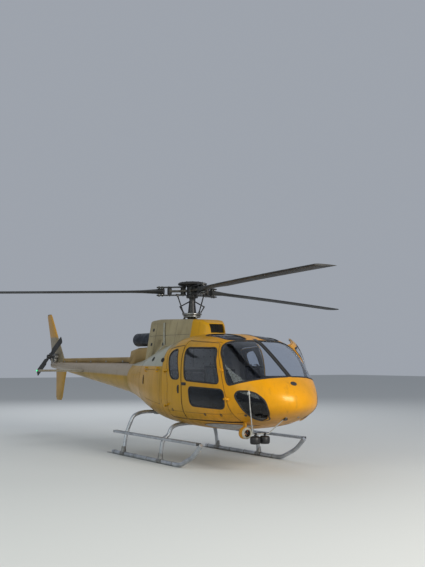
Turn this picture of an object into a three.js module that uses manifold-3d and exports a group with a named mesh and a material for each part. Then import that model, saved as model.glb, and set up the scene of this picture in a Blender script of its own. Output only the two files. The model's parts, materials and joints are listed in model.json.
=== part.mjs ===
// A light single-engine helicopter parked on its skids, in millimetres.
// +Z is up, the nose points to -Y, starboard is -X, and the main rotor turns about the line X = 0, Y = 0.
// The skids stand on Z = 0 while the pieces are made; the whole group is then moved to its origin.
import * as THREE from 'three';
import { mergeVertices } from 'three/addons/utils/BufferGeometryUtils.js';
import Module from 'manifold-3d';

const wasm = await Module();
wasm.setup();

// Clearances
const fit = 0.3; // between pieces that touch
const doorGap = 7; // between the outer skin of a door and its frame
const doorReturn = 27; // between the inner part of a door and its frame
const doorLip = 9; // thickness of a door's outer skin
const far = 8000; // reach of a cutting shape past the body
const bite = 2; // how deep joined shapes run into each other

// Fuselage
// Sections of the body: y, half width, lowest z, z of the widest place, highest z,
// and the two powers of its curve
const bodyStations = [
  [-3305, 0, 1135, 1135, 1135, 2.0, 2.0],
  [-3296, 106, 1072, 1135, 1204, 2.0, 2.0],
  [-3268, 212, 1025, 1135, 1276, 2.0, 2.0],
  [-3212, 338, 978, 1135, 1358, 2.1, 2.1],
  [-3118, 474, 922, 1137, 1460, 2.2, 2.15],
  [-2990, 602, 864, 1142, 1566, 2.4, 2.25],
  [-2750, 760, 786, 1162, 1745, 2.8, 2.4],
  [-2500, 857, 724, 1185, 1925, 3.3, 2.6],
  [-2200, 913, 670, 1210, 2115, 4.0, 2.8],
  [-1900, 932, 635, 1225, 2220, 4.2, 2.9],
  [-1500, 935, 618, 1230, 2280, 4.0, 3.0],
  [-1000, 930, 620, 1235, 2288, 3.8, 3.0],
  [-500, 912, 632, 1245, 2232, 3.5, 2.9],
  [0, 865, 662, 1265, 2145, 3.1, 2.7],
  [500, 760, 730, 1300, 2060, 2.8, 2.5],
  [1000, 625, 822, 1345, 1960, 2.5, 2.3],
  [1500, 480, 930, 1395, 1860, 2.2, 2.1],
  [2050, 345, 1062, 1430, 1780, 2.0, 2.0],
];
const ringSides = 28;
const wall = 30; // doors, roof and hull sides
const floorTop = 790;
const bulkheadY = -400;
const boomStart = bodyStations[bodyStations.length - 1][0];

// Panel lines in the side view, as [y, z] or [y, z, corner]
const aheadOfNose = -3400;
const hullTop = [[aheadOfNose, 1644], [-2468, 1397], [-2420, 1380], [bulkheadY, 1380]];
const screenCorners = [
  [aheadOfNose, 1644], [-2480, 1400, 50], [-2430, 1500], [-2335, 1740, 150], [-2095, 2072, 50], [-2105, 2160],
  [-2105, far], [aheadOfNose, far],
];
const screenPost = 25; // half width of the centre post
const frontOutline = (lowerFront) => [
  [-2062, 2105, 60], [-2305, 1715, 150], [-2400, 1400], [-2548, 920, 60], lowerFront, [-1185, 790, 40],
  [-1110, 2050], [-1106, 2165, 70],
];
const frontDoor = frontOutline([-2560, 814, 120]);
const frontOpening = frontOutline([-2560, 800, 120]); // lower than the door, which drops a little as it opens
const rearDoor = [
  [-1108, 2085, 60], [-1185, 790, 40], [-610, 800, 80], [-640, 1350], [-590, 1700, 200], [-500, 2035, 150],
];
const doorWindow = [
  [-2030, 2015, 60], [-2110, 1950], [-2300, 1425, 90], [-1250, 1465, 100], [-1185, 2030, 90],
];
const doorLowerWindow = [[-2390, 1340, 90], [-2425, 1025, 110], [-1440, 1040, 110], [-1375, 1362, 90]];
const rearWindow = [[-905, 2020, 80], [-1085, 1485, 80], [-760, 1475, 130], [-585, 1955, 150]];
const chinWindow = [
  [-2598, 1245, 60], [-2648, 1322, 80], [-2800, 1326], [-2945, 1292, 90], [-3072, 1160, 110],
  [-3072, 1010, 110], [-2945, 890, 90], [-2775, 842, 60], [-2768, 960, 80], [-2695, 1110, 60],
];
const roofWindow = [[-150, -2080, 120], [-560, -2080, 160], [-600, -1330, 160], [-170, -1330, 120]]; // x, y
const paneDepth = 8; // glass lies this far inside the skin
const paneThickness = 6;

// Hinge lines on the starboard side: a point, the direction upwards or rearwards, the way to the door,
// where the knuckles sit along the line, and how far from it the door's foot starts and ends
const hingeLines = {
  frontDoor: {
    point: [-890, -2408, 1430], axis: [0.04, 0.32, 0.947], towards: [0, 1, 0],
    knuckles: [-250, 235], doorFoot: [38, 62],
  },
  rearDoor: {
    point: [-935, -566, 1350], axis: [0, 0.061, 0.998], towards: [0, -1, 0],
    knuckles: [-340, 270], doorFoot: [76, 100],
  },
  baggageDoor: {
    point: [-928, -345, 1656], axis: [0.199, 0.98, 0], towards: [0, 0, -1],
    knuckles: [150, 850], doorFoot: [38, 62],
  },
};
const knuckle = { radius: 8, sides: 8, length: 26, gap: 0.15, leaf: 3, frameFoot: [6, 30], sunk: 6 };
const portDoorOpen = 40; // degrees

// Baggage holds behind the cabin
const holdFront = -345;
const holdRear = 660;
const holdInner = 280; // the holds end this far from the middle
const holdRim = 20; // ledge around the mouth, behind the door
const holdReach = 1400;
const holdBottom = 1010;
const holdTop = 1640;
const holdFloorRise = 90; // towards the tail
const holdTurn = 10; // degrees by which the side runs inwards towards the tail

// Engine cowl and intake fairing, sections with y, half width and z of the base, half width and z of the top,
// and the size of the rounded shoulder
const intakeStations = [
  [-1010, 110, 1900, 60, 2262, 30],
  [-930, 215, 1900, 140, 2375, 45],
  [-835, 290, 1900, 205, 2500, 55],
  [-710, 360, 1900, 262, 2560, 60],
  [-500, 425, 1900, 300, 2585, 60],
];
const cowlStations = [
  [-500, 425, 1900, 300, 2585, 60],
  [200, 470, 1800, 318, 2612, 65],
  [800, 455, 1750, 305, 2632, 70],
  [1170, 400, 1750, 262, 2622, 80],
];
const hoodWall = 20;
const shaftCoverStations = [
  [1171, 205, 1650, 135, 2098, 50],
  [2040, 168, 1650, 110, 2078, 45],
  [2370, 150, 1650, 95, 2024, 40],
  [2450, 112, 1650, 74, 1886, 30],
  [6200, 88, 1650, 58, 1865, 25],
];
const intakeMouth = { halfWidth: 155, low: 2318, high: 2486, front: -1200, rear: -600 };
const exhaust = { radius: 128, wall: 8, end: 2195, z: 2250, sides: 20 };
const exhaustHole = { radius: 134, front: 1000, rear: 1400, sides: 16 };
const enclosedBottom = 1500; // the block of the engine and gearbox is cut off by the body below
const engine = { halfWidth: 230, front: 260, rear: 1050, top: 2320 };
const gearbox = { halfWidth: 190, front: -260, rear: 259, top: 2480 };

// Tail
const boomStations = [
  [2050, 345, 1062, 1430, 1780, 2.0, 2.0],
  [2350, 318, 1118, 1452, 1772, 2.0, 2.0],
  [6300, 128, 1560, 1690, 1775, 2.0, 2.0],
  [6950, 100, 1610, 1700, 1770, 2.0, 2.0],
];
const boomSides = 24;
const boomWall = 12;
const boomHollowEnd = 6850;
const stabiliser = { halfSpan: 1265, front: 4570, chord: 500, tipChord: 440, thickness: 56, z: 1572 };
// Fins, sections with z, leading edge, chord and thickness
const upperFin = [
  [1745, 6180, 980, 90], [2120, 6470, 680, 80], [2440, 6725, 520, 66], [2985, 7140, 330, 46],
  [3050, 7230, 220, 30],
];
const lowerFin = [[1630, 6080, 700, 80], [1300, 6200, 560, 66], [870, 6330, 420, 46], [790, 6420, 290, 34]];
const tailRotor = { x: -262, y: 6657, z: 1905, tilt: -28, sides: 14 };
const tailBladeSections = [[90, 90, 34], [230, 185, 20], [930, 185, 20]]; // radius, chord, thickness
const tailYoke = { thickness: 34, width: 70, length: 260 };
// Turned shapes about the tail rotor's axis, as [radius, x]
const gearcaseFace = -150;
const tailHubProfile = [
  [0, -312], [55, -312], [62, -290], [62, -235], [34, -225], [34, gearcaseFace - fit],
  [0, gearcaseFace - fit],
];
const gearcaseProfile = [
  [0, gearcaseFace], [70, gearcaseFace], [88, -120], [88, -50], [60, -34], [0, -34],
];
const gearStand = { left: -140, right: -45, halfLength: 60, low: 1700 };

// Main rotor
const rotor = { radius: 5345, chord: 350, thickness: 42, hubTop: 3343, sides: 18 };
const bladeAngles = [-102.99, 17.01, 137.01];
const bladeTips = [3075, 3074, 3195]; // height of each blade's tip
const bladeDroopPower = 1.4; // how late along the blade its bend comes
const grip = {
  inner: 140, outer: 700, spacer: 480, root: 560, halfWidth: 62, low: 3072, high: 3250, plate: 24,
};
const starArm = { inner: 60, halfWidth: 34, low: 3140, high: 3182 };
const sleeve = { inner: 90, outer: 200, halfWidth: 50 };
const pitchHorn = { radial: 262, lateral: 105, width: 46, length: 130 };
const pitchRod = { turn: 30, radius: 13, lowRadial: 176, lowZ: 2710, highRadial: 300, highAboveGrip: 12 };
const plateLeg = { angles: [30, 150, 270], radial: 150, low: 2560, high: 2660, radius: 15 };
// Turned shapes about the mast, as [radius, z]
const hubBase = 3020;
const mastFoot = { radius: 88, low: gearbox.top + fit, high: 2740 };
const mastProfile = [
  [0, mastFoot.low], [mastFoot.radius, mastFoot.low], [mastFoot.radius, mastFoot.high], [58, 2960],
  [58, hubBase - fit], [0, hubBase - fit],
];
const plateHole = 94; // radius
const fixedPlate = { radius: 168, low: 2640, high: 2684 };
const turningPlate = { radius: 190, low: fixedPlate.high + fit, high: 2726 };
const capProfile = [
  [0, hubBase], [105, hubBase], [118, 3060], [118, 3262], [272, 3274], [280, 3292], [262, 3322],
  [120, rotor.hubTop], [0, rotor.hubTop],
];
const capSides = 24;
const mastHole = { radius: 105, low: 2400, high: 2700, sides: 16 };
// Sections of a main blade outside its root: radius, chord, thickness
const bladeSections = [
  [720, 165, 96], [1000, 250, 62], [1270, rotor.chord, rotor.thickness + 4],
  [2600, rotor.chord, rotor.thickness], [4000, rotor.chord, rotor.thickness],
  [rotor.radius, rotor.chord, rotor.thickness - 6],
];
const bladeRootChord = 150;

// Landing gear
const skid = { track: 2170, radius: 38, halfSides: 5, steps: 18 };
// Line of a skid's middle as [y, height above the straight part]
const skidLine = [
  [1166, 0], [0, 0], [-1114, 0], [-1214, 0], [-1404, 14], [-1574, 78], [-1830, 202], [-2060, 392],
];
const heel = { halfWidth: 26, overlap: 60, length: 220, height: 9 };
const crossTubeRadius = 35;
const crossTubeSides = 5; // half the number of sides
const crossTubeSteps = 20;
const legLine = { beforeKnee: [90, 50], afterKnee: [60, 110], low: [60, 400], foot: [10, 30], sunk: 4 };
const crossTubes = [
  { name: 'cross_tube_front', y: -701, centreZ: 672, shoulderX: 640, shoulderZ: 672, kneeX: 860, kneeZ: 600 },
  { name: 'cross_tube_rear', y: 721, centreZ: 790, shoulderX: 620, shoulderZ: 812, kneeX: 880, kneeZ: 730 },
];
const step = { x: 1112, z: 462, rear: 1020, front: -2025, width: 96, height: 46 };
const stepBracket = { inner: 1000, halfWidth: 22, below: 4 };

// Load mirrors and lamp below the nose
const strutRadius = 10;
const mirrorBar = { left: -620, right: -270, y: -2800, z: 640 };
const strutRoutes = [
  [[-695, -2845, 1345], [-700, -2880, 1100], [mirrorBar.left + 30, mirrorBar.y, mirrorBar.z]],
  [[-100, -3020, 900], [mirrorBar.right, mirrorBar.y, mirrorBar.z]],
  [[mirrorBar.left, mirrorBar.y, mirrorBar.z], [mirrorBar.right, mirrorBar.y, mirrorBar.z]],
];
const mirrorHeadPlaces = [-540, -352];
const mirrorHeadSides = 16;
const mirrorHeadProfile = [[0, 480], [70, 480], [84, 505], [84, 585], [60, 612], [0, 612]]; // radius, z
const mirrorBracket = { left: -560, right: -330, halfWidth: 20, low: 600 };
const lamp = { x: -560, y: -2620, z: 640, sides: 16 };
const lampPost = { halfWidth: 15, front: -2580, rear: -2500, low: 700, high: 900 };
const lampProfile = [[0, 0], [80, 0], [95, 22], [95, 120], [60, 160], [0, 160]]; // radius, y

// Cabin, outlines in the side view as [y, z, corner]
const seatPlaces = [['seat_starboard', -420], ['seat_port', 420]];
const seatHalfWidth = 240;
const frontSeat = [
  [-1990, floorTop], [-1560, floorTop], [-1560, 1000], [-1500, 1060, 30], [-1330, 1700, 40], [-1420, 1740, 40],
  [-1590, 1190, 60], [-2070, 1200, 50], [-2070, 1060, 50], [-1990, 1030],
];
const benchHalfWidth = 720;
const bench = [
  [-980, floorTop], [bulkheadY, floorTop], [bulkheadY, 1650, 50], [-430, 1650, 50], [-500, 1160, 60],
  [-1000, 1180, 50],
];
const panelBox = { halfWidth: 310, front: -2700, rear: -2570, low: 1240, high: 1560 };
const pedestal = { halfWidth: 130, front: -2740, rear: -2300, high: 1245 };

// Colours
const paint = (name, color, roughness, metalness) =>
  Object.assign(new THREE.MeshStandardMaterial({ color, roughness, metalness }), { name });
const yellow = paint('yellow_paint', 0xe09a12, 0.35, 0.0);
const beige = paint('beige_paint', 0xa89f84, 0.6, 0.0);
const black = paint('black_composite', 0x17181b, 0.5, 0.1);
const silver = paint('silver_paint', 0x9aa0a4, 0.4, 0.6);
const steel = paint('bare_steel', 0x6f7377, 0.35, 0.9);
const burnt = paint('burnt_steel', 0x1e2430, 0.55, 0.8);
const glass = paint('tinted_glass', 0x2a3440, 0.08, 0.0);
const fabric = paint('seat_fabric', 0x3b4048, 0.9, 0.0);
const plastic = paint('dark_plastic', 0x24262a, 0.7, 0.0);

// Closed meshes to solids and back
function solidOf(geometry) {
  geometry.deleteAttribute('normal');
  geometry.deleteAttribute('uv');
  const merged = mergeVertices(geometry, 1e-3);
  const triVerts = new Uint32Array(merged.index.array);
  const vertProperties = merged.attributes.position.array;
  const made = new wasm.Manifold(new wasm.Mesh({ numProp: 3, vertProperties, triVerts }));
  if (made.volume() > 0) return made;
  for (let i = 0; i < triVerts.length; i += 3) {
    [triVerts[i], triVerts[i + 1]] = [triVerts[i + 1], triVerts[i]];
  }
  return new wasm.Manifold(new wasm.Mesh({ numProp: 3, vertProperties, triVerts }));
}

function geometryOf(solid) {
  const { vertProperties, triVerts } = solid.getMesh();
  const geometry = new THREE.BufferGeometry();
  geometry.setAttribute('position', new THREE.BufferAttribute(vertProperties, 3));
  geometry.setIndex(new THREE.BufferAttribute(triVerts, 1));
  geometry.computeVertexNormals();
  return geometry;
}

const join = (first, ...others) => others.reduce((all, other) => all.add(other), first);
const mirroredSolid = (solid) => solidOf(geometryOf(solid).scale(-1, 1, 1));
const cut = (first, ...others) => others.reduce((left, other) => left.subtract(other), first);

// Shapes
function block(x0, x1, y0, y1, z0, z1) {
  const box = new THREE.BoxGeometry(x1 - x0, y1 - y0, z1 - z0);
  return solidOf(box.translate((x0 + x1) / 2, (y0 + y1) / 2, (z0 + z1) / 2));
}

// The corners of an outline moved inwards by an even inset
function insetCorners(corners, inset) {
  const points = corners.map(([u, v]) => new THREE.Vector2(u, v));
  const sense = Math.sign(THREE.ShapeUtils.area(points));
  const inward = points.map((point, i) => {
    const along = points[(i + 1) % points.length].clone().sub(point).normalize();
    return new THREE.Vector2(-along.y, along.x).multiplyScalar(sense);
  });
  return points.map((point, i) => {
    const before = inward[(i + points.length - 1) % points.length];
    const after = inward[i];
    return point.clone().addScaledVector(before.clone().add(after), inset / (1 + before.dot(after)));
  });
}

// An outline whose corners [u, v, r] are rounded over the length r of each side
function roundedShape(corners, inset = 0) {
  const points = insetCorners(corners, inset);
  const shape = new THREE.Shape();
  points.forEach((point, i) => {
    const before = points[(i + points.length - 1) % points.length];
    const after = points[(i + 1) % points.length];
    const room = 0.48 * Math.min(before.distanceTo(point), after.distanceTo(point));
    const radius = Math.min(Math.max((corners[i][2] ?? 0) - inset, 0), room);
    const start = before.clone().sub(point).setLength(radius).add(point);
    const end = after.clone().sub(point).setLength(radius).add(point);
    if (i === 0) shape.moveTo(start.x, start.y);
    else shape.lineTo(start.x, start.y);
    if (radius > 0) shape.quadraticCurveTo(point.x, point.y, end.x, end.y);
  });
  shape.closePath();
  return shape;
}

function prism(shape, depth, uAxis, vAxis, start) {
  const depthAxis = new THREE.Vector3().crossVectors(uAxis, vAxis);
  const extruded = new THREE.ExtrudeGeometry(shape, { depth, bevelEnabled: false, curveSegments: 3 });
  extruded.applyMatrix4(new THREE.Matrix4().makeBasis(uAxis, vAxis, depthAxis));
  extruded.translate(...depthAxis.multiplyScalar(start).toArray());
  return solidOf(extruded);
}

const vector = ([x, y, z]) => new THREE.Vector3(x, y, z);
const alongX = new THREE.Vector3(1, 0, 0);
const alongY = new THREE.Vector3(0, 1, 0);
const alongZ = new THREE.Vector3(0, 0, 1);
const sidePrism = (corners, x0, x1, inset) => prism(roundedShape(corners, inset), x1 - x0, alongY, alongZ, x0);
const planPrism = (corners, z0, z1, inset) => prism(roundedShape(corners, inset), z1 - z0, alongX, alongY, z0);

// A closed skin over rings of points, with flat ends
function skin(rings) {
  const sides = rings[0].length;
  const positions = rings.flat().flatMap((p) => [p.x, p.y, p.z]);
  const faces = [];
  const at = (ring, side) => ring * sides + (side % sides);
  for (let i = 0; i + 1 < rings.length; i += 1) {
    for (let j = 0; j < sides; j += 1) {
      faces.push(at(i, j), at(i + 1, j), at(i + 1, j + 1));
      faces.push(at(i, j), at(i + 1, j + 1), at(i, j + 1));
    }
  }
  [0, rings.length - 1].forEach((end) => {
    const middle = positions.length / 3;
    const centre = new THREE.Vector3();
    rings[end].forEach((p) => centre.addScaledVector(p, 1 / sides));
    positions.push(centre.x, centre.y, centre.z);
    for (let j = 0; j < sides; j += 1) {
      if (end === 0) faces.push(middle, at(end, j), at(end, j + 1));
      else faces.push(middle, at(end, j + 1), at(end, j));
    }
  });
  const geometry = new THREE.BufferGeometry();
  geometry.setAttribute('position', new THREE.Float32BufferAttribute(positions, 3));
  geometry.setIndex(faces);
  return geometry;
}

// A section of the body: two half super-ellipses that meet at the widest height
function ovalRing([y, halfWidth, zBottom, zWidest, zTop, nTop, nBottom], sides, inset = 0) {
  const ring = [];
  for (let i = 0; i < sides; i += 1) {
    const angle = (2 * Math.PI * i) / sides;
    const [c, s] = [Math.cos(angle), Math.sin(angle)];
    const power = 2 / (s >= 0 ? nTop : nBottom);
    const height = s >= 0 ? zTop - inset - zWidest : zWidest - zBottom - inset;
    const x = Math.max(halfWidth - inset, 0) * Math.sign(c) * Math.abs(c) ** power;
    ring.push(new THREE.Vector3(x, y, zWidest + Math.max(height, 0) * Math.sign(s) * Math.abs(s) ** power));
  }
  return ring;
}

function ovalLoft(rows, sides, inset = 0) {
  const rings = rows.map((row) => ovalRing(row, sides, inset));
  return solidOf(skin(rings));
}

// The body's outer form, or that form shrunk by an inset
function bodyForm(inset) {
  const [tip] = bodyStations;
  const [noseY, , , noseZ] = tip;
  const noseRing = [];
  for (let i = 0; i < ringSides; i += 1) {
    const angle = (2 * Math.PI * i) / ringSides;
    noseRing.push(new THREE.Vector3(Math.cos(angle), noseY + inset, noseZ + Math.sin(angle)));
  }
  const rows = bodyStations.filter(([y, halfWidth]) => halfWidth > inset + 1 && y > noseY + inset + 2);
  return solidOf(skin([noseRing, ...rows.map((row) => ovalRing(row, ringSides, inset))]));
}

// How far out the body's skin lies at a place on its side
function sideAt(y, z) {
  const after = bodyStations.findIndex((row) => row[0] >= y);
  const [low, high] = [bodyStations[after - 1], bodyStations[after]];
  const share = (y - low[0]) / (high[0] - low[0]);
  const between = low.map((value, i) => value + share * (high[i] - value));
  const [, halfWidth, zBottom, zWidest, zTop, nTop, nBottom] = between;
  const [reach, power] = z > zWidest ? [zTop - zWidest, nTop] : [zWidest - zBottom, nBottom];
  const rise = Math.abs(z - zWidest) / reach;
  return halfWidth * (1 - rise ** power) ** (1 / power);
}

// A section of a cowl: sloping sides with rounded shoulders
function hoodRing([y, halfBase, zBase, halfTop, zTop, corner], inset = 0) {
  const shoulder = [];
  const arcSteps = 3;
  for (let i = 0; i <= arcSteps; i += 1) {
    const angle = (Math.PI / 2) * (i / arcSteps);
    const x = halfTop - inset - corner + corner * Math.cos(angle);
    shoulder.push([x, zTop - inset - corner + corner * Math.sin(angle)]);
  }
  const half = [[halfBase - inset, zBase - inset], ...shoulder];
  const other = half.map(([x, z]) => [-x, z]).reverse();
  return [...half, ...other].map(([x, z]) => new THREE.Vector3(x, y, z));
}

const hood = (rows, inset = 0) => solidOf(skin(rows.map((row) => hoodRing(row, inset))));

// A round bar along a line of points
function bar(points, radius, halfSides = 5, steps = 0, straight = false) {
  const path = new THREE.CurvePath();
  if (straight) points.slice(1).forEach((p, i) => path.add(new THREE.LineCurve3(points[i], p)));
  const circle = new THREE.Shape().absarc(0, 0, radius, 0, 2 * Math.PI);
  return solidOf(new THREE.ExtrudeGeometry(circle, {
    steps: steps || points.length - 1,
    curveSegments: halfSides,
    extrudePath: straight ? path : new THREE.CatmullRomCurve3(points, false, 'centripetal'),
  }));
}

function turned(profile, sides) {
  const points = profile.map(([radius, z]) => new THREE.Vector2(radius, z));
  return solidOf(new THREE.LatheGeometry(points, sides).rotateX(Math.PI / 2));
}

// An aerofoil outline as [part of chord, part of half thickness]
const foil = [
  [0, 0], [0.04, 0.55], [0.2, 0.97], [0.45, 0.95], [1, 0.12], [1, -0.12], [0.45, -0.95], [0.2, -0.97],
  [0.04, -0.55],
];

const pieces = [];
function piece(name, shape, material, place = {}) {
  const geometry = shape.isBufferGeometry ? shape : geometryOf(shape);
  const mesh = new THREE.Mesh(geometry, material);
  mesh.name = name;
  if (place.mirrored) mesh.scale.x = -1;
  pieces.push(mesh);
  return mesh;
}

// Body forms
const outer = bodyForm(0);
const inner = bodyForm(wall).intersect(block(-far, far, -far, bulkheadY, floorTop, far));
const cabinOuter = outer.intersect(block(-far, far, -far, bulkheadY, -far, far));
const shell = cut(cabinOuter, inner);
const paneShell = cut(bodyForm(paneDepth), bodyForm(paneDepth + paneThickness));
const everyX = [-far, far];
const starboard = [-far, -screenPost];
const aboveCabin = [2000, far]; // heights that a cut through the roof spans

// Cabin openings
const openings = [frontOpening, rearDoor].map((corners) => sidePrism(corners, ...everyX));
const screens = cut(sidePrism(screenCorners, ...everyX), block(-screenPost, screenPost, -far, 0, 0, far));
const bothRoofWindows = join(
  planPrism(roofWindow, ...aboveCabin),
  planPrism(roofWindow.map(([x, y, r]) => [-x, y, r]), ...aboveCabin),
);
const chinOpenings = sidePrism(chinWindow, ...everyX);

// Hull and roof meet on one line in the side view
const hullSide = [...hullTop, [bulkheadY, -far], [aheadOfNose, -far]];
const roofSide = [...hullTop.map(([y, z]) => [y, z + fit]), [bulkheadY, far], [aheadOfNose, far]];
const crossTubeForms = crossTubes.map((tube) => crossTube(tube, 0));
const crossTubeRecesses = crossTubes.map((tube) => crossTube(tube, fit));

function crossTube({ y, centreZ, shoulderX, shoulderZ, kneeX, kneeZ }, extra) {
  const side = skid.track / 2;
  const foot = skid.radius * 2 - legLine.sunk - extra;
  const { beforeKnee, afterKnee, low } = legLine;
  const half = [
    [shoulderX, shoulderZ],
    [kneeX - beforeKnee[0], kneeZ + beforeKnee[1]],
    [kneeX, kneeZ],
    [kneeX + afterKnee[0], kneeZ - afterKnee[1]],
    [side - low[0], low[1]],
    [side - legLine.foot[0], foot + legLine.foot[1]],
    [side, foot],
  ];
  const otherHalf = half.map(([x, z]) => [-x, z]).reverse();
  const route = [...otherHalf, [0, centreZ], ...half].map(([x, z]) => [x, y, z]);
  return bar(route.map(vector), crossTubeRadius + extra, crossTubeSides, crossTubeSteps);
}

const lowerShell = shell.intersect(sidePrism(hullSide, ...everyX));
const hull = cut(lowerShell, ...openings, chinOpenings, ...crossTubeRecesses);
const roof = cut(shell.intersect(sidePrism(roofSide, ...everyX)), ...openings, screens, bothRoofWindows);

const sides = [['starboard', false], ['port', true]];
sides.forEach(([side, mirrored]) => {
  const pane = (name, outline) => piece(name + '_' + side, paneShell.intersect(outline), glass, { mirrored });
  const screen = sidePrism(screenCorners, ...starboard, fit);
  pane('windscreen', screen.subtract(block(-screenPost - fit, 0, -far, 0, 0, far)));
  pane('roof_window', planPrism(roofWindow, ...aboveCabin, fit));
  pane('chin_window', sidePrism(chinWindow, ...starboard, fit));
});

// A knuckle and leaf on each side of a hinge line, with feet that sink into the door and into the frame
function hingeHalves({ point, axis, towards, knuckles, doorFoot }) {
  const line = vector(axis).normalize();
  const doorward = vector(towards).addScaledVector(line, -line.dot(vector(towards))).normalize();
  const outward = new THREE.Vector3().crossVectors(line, doorward);
  if (outward.x > 0) outward.negate();
  const half = (centre, side, [footStart, footEnd]) => {
    const across = [doorward, outward].map((direction) => direction.clone().multiplyScalar(side));
    const place = new THREE.Matrix4().makeBasis(line, ...across);
    const sunk = (start, end) => {
      const foot = centre.clone().addScaledVector(doorward, (side * (start + end)) / 2);
      return (Math.abs(foot.x) - sideAt(foot.y, foot.z)) * Math.abs(outward.x) + knuckle.sunk;
    };
    const box = (a0, a1, d0, d1, o0, o1) =>
      new THREE.BoxGeometry(a1 - a0, d1 - d0, o1 - o0)
        .translate((a0 + a1) / 2, (d0 + d1) / 2, (o0 + o1) / 2);
    const [a0, a1] = side > 0 ? [knuckle.gap, knuckle.length] : [-knuckle.length, -knuckle.gap];
    const deep = sunk(footStart, footEnd);
    const [low, high] = side > 0 ? [-deep, knuckle.leaf] : [-knuckle.leaf, deep];
    const barrel = new THREE.CylinderGeometry(knuckle.radius, knuckle.radius, a1 - a0, knuckle.sides);
    barrel.rotateZ(Math.PI / 2).translate((a0 + a1) / 2, 0, 0);
    const leaf = box(a0, a1, 0, footEnd, -knuckle.leaf, knuckle.leaf);
    const parts = [barrel, leaf, box(a0, a1, footStart, footEnd, low, high)];
    return parts.map((part) => solidOf(part.applyMatrix4(place).translate(centre.x, centre.y, centre.z)));
  };
  const centres = knuckles.map((distance) => vector(point).addScaledVector(line, distance));
  return {
    door: join(...centres.flatMap((centre) => half(centre, 1, doorFoot))),
    frame: centres.map((centre) => join(...half(centre, -1, knuckle.frameFoot))),
  };
}

const frontHinges = hingeHalves(hingeLines.frontDoor);
const rearHinges = hingeHalves(hingeLines.rearDoor);
const baggageHinges = hingeHalves(hingeLines.baggageDoor);
const bothSides = (solid) => [solid, mirroredSolid(solid)];

// The lower knuckles' frame halves are on the hull, the upper ones on the roof
const [lowerHinges, upperHinges] = [0, 1].map((i) => [frontHinges.frame[i], rearHinges.frame[i]]);
piece('hull_and_nose', join(hull, ...lowerHinges.flatMap(bothSides)), yellow);
piece('cabin_roof', join(roof, ...upperHinges.flatMap(bothSides)), yellow);

// Doors, made on the starboard side and mirrored for port
const lipShell = cut(outer, bodyForm(doorLip));
function doorSet(side, mirrored) {
  const panel = (corners, hinges, holes) => {
    const face = lipShell.intersect(sidePrism(corners, ...starboard, doorGap));
    const whole = join(face, shell.intersect(sidePrism(corners, ...starboard, doorReturn)), hinges);
    return cut(whole, ...holes.map((hole) => sidePrism(hole, ...starboard)));
  };
  const pane = (corners) => paneShell.intersect(sidePrism(corners, ...starboard, fit));
  const frontPanel = panel(frontDoor, frontHinges.door, [doorWindow, doorLowerWindow]);
  const front = [
    piece('front_door_' + side, frontPanel, yellow, { mirrored }),
    piece('front_door_glass_' + side, pane(doorWindow), glass, { mirrored }),
    piece('front_door_lower_glass_' + side, pane(doorLowerWindow), glass, { mirrored }),
  ];
  piece('rear_door_' + side, panel(rearDoor, rearHinges.door, [rearWindow]), yellow, { mirrored });
  piece('rear_door_glass_' + side, pane(rearWindow), glass, { mirrored });
  return front;
}

const doorMeshes = sides.map(([side, mirrored]) => doorSet(side, mirrored));

// Rear fuselage with a baggage hold on each side
const holdCorners = [
  [holdFront, holdTop, 50], [holdFront, holdBottom, 60], [holdRear, holdBottom + holdFloorRise, 80],
  [holdRear, holdTop, 50],
];
function holdPrism(gap) {
  const turn = new THREE.Matrix4().makeRotationZ(THREE.MathUtils.degToRad(-holdTurn));
  const outline = roundedShape(holdCorners, gap);
  const shape = new THREE.ExtrudeGeometry(outline, { depth: holdReach, bevelEnabled: false, curveSegments: 3 });
  shape.applyMatrix4(new THREE.Matrix4().makeBasis(alongY, alongZ, alongX));
  const side = sideAt(holdFront, holdTop);
  shape.translate(side - holdReach, -holdFront, 0).applyMatrix4(turn).translate(-side, holdFront, 0);
  return solidOf(shape);
}
const rearForm = outer.intersect(block(-far, far, bulkheadY + fit, far, -far, far));
const rearInner = ovalLoft(bodyStations.filter(([y]) => y >= 2 * bulkheadY), ringSides, wall);
const rearSkin = rearForm.intersect(block(-far, -holdInner, -far, far, -far, far)).subtract(rearInner);
const holdCavity = holdPrism(holdRim).intersect(block(-far, -holdInner, bulkheadY + wall, far, -far, far));
const holdMouth = cut(holdPrism(0), rearInner, block(-holdInner, far, -far, far, -far, far));
const rearFuselage = cut(rearForm, ...[holdCavity, holdMouth].flatMap(bothSides), ...crossTubeRecesses);
piece('rear_fuselage', join(rearFuselage, ...baggageHinges.frame.flatMap(bothSides)), yellow);
const baggageFace = lipShell.intersect(holdPrism(doorGap));
const baggageDoor = join(baggageFace, rearSkin.intersect(holdPrism(doorReturn)), baggageHinges.door);
sides.forEach(([side, mirrored]) => piece('baggage_door_' + side, baggageDoor, yellow, { mirrored }));

// Cowl, intake, engine and exhaust
const seat = bodyForm(-fit);
const cowlCavity = hood(cowlStations, hoodWall).translate([0, -hoodWall, 0]);
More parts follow.
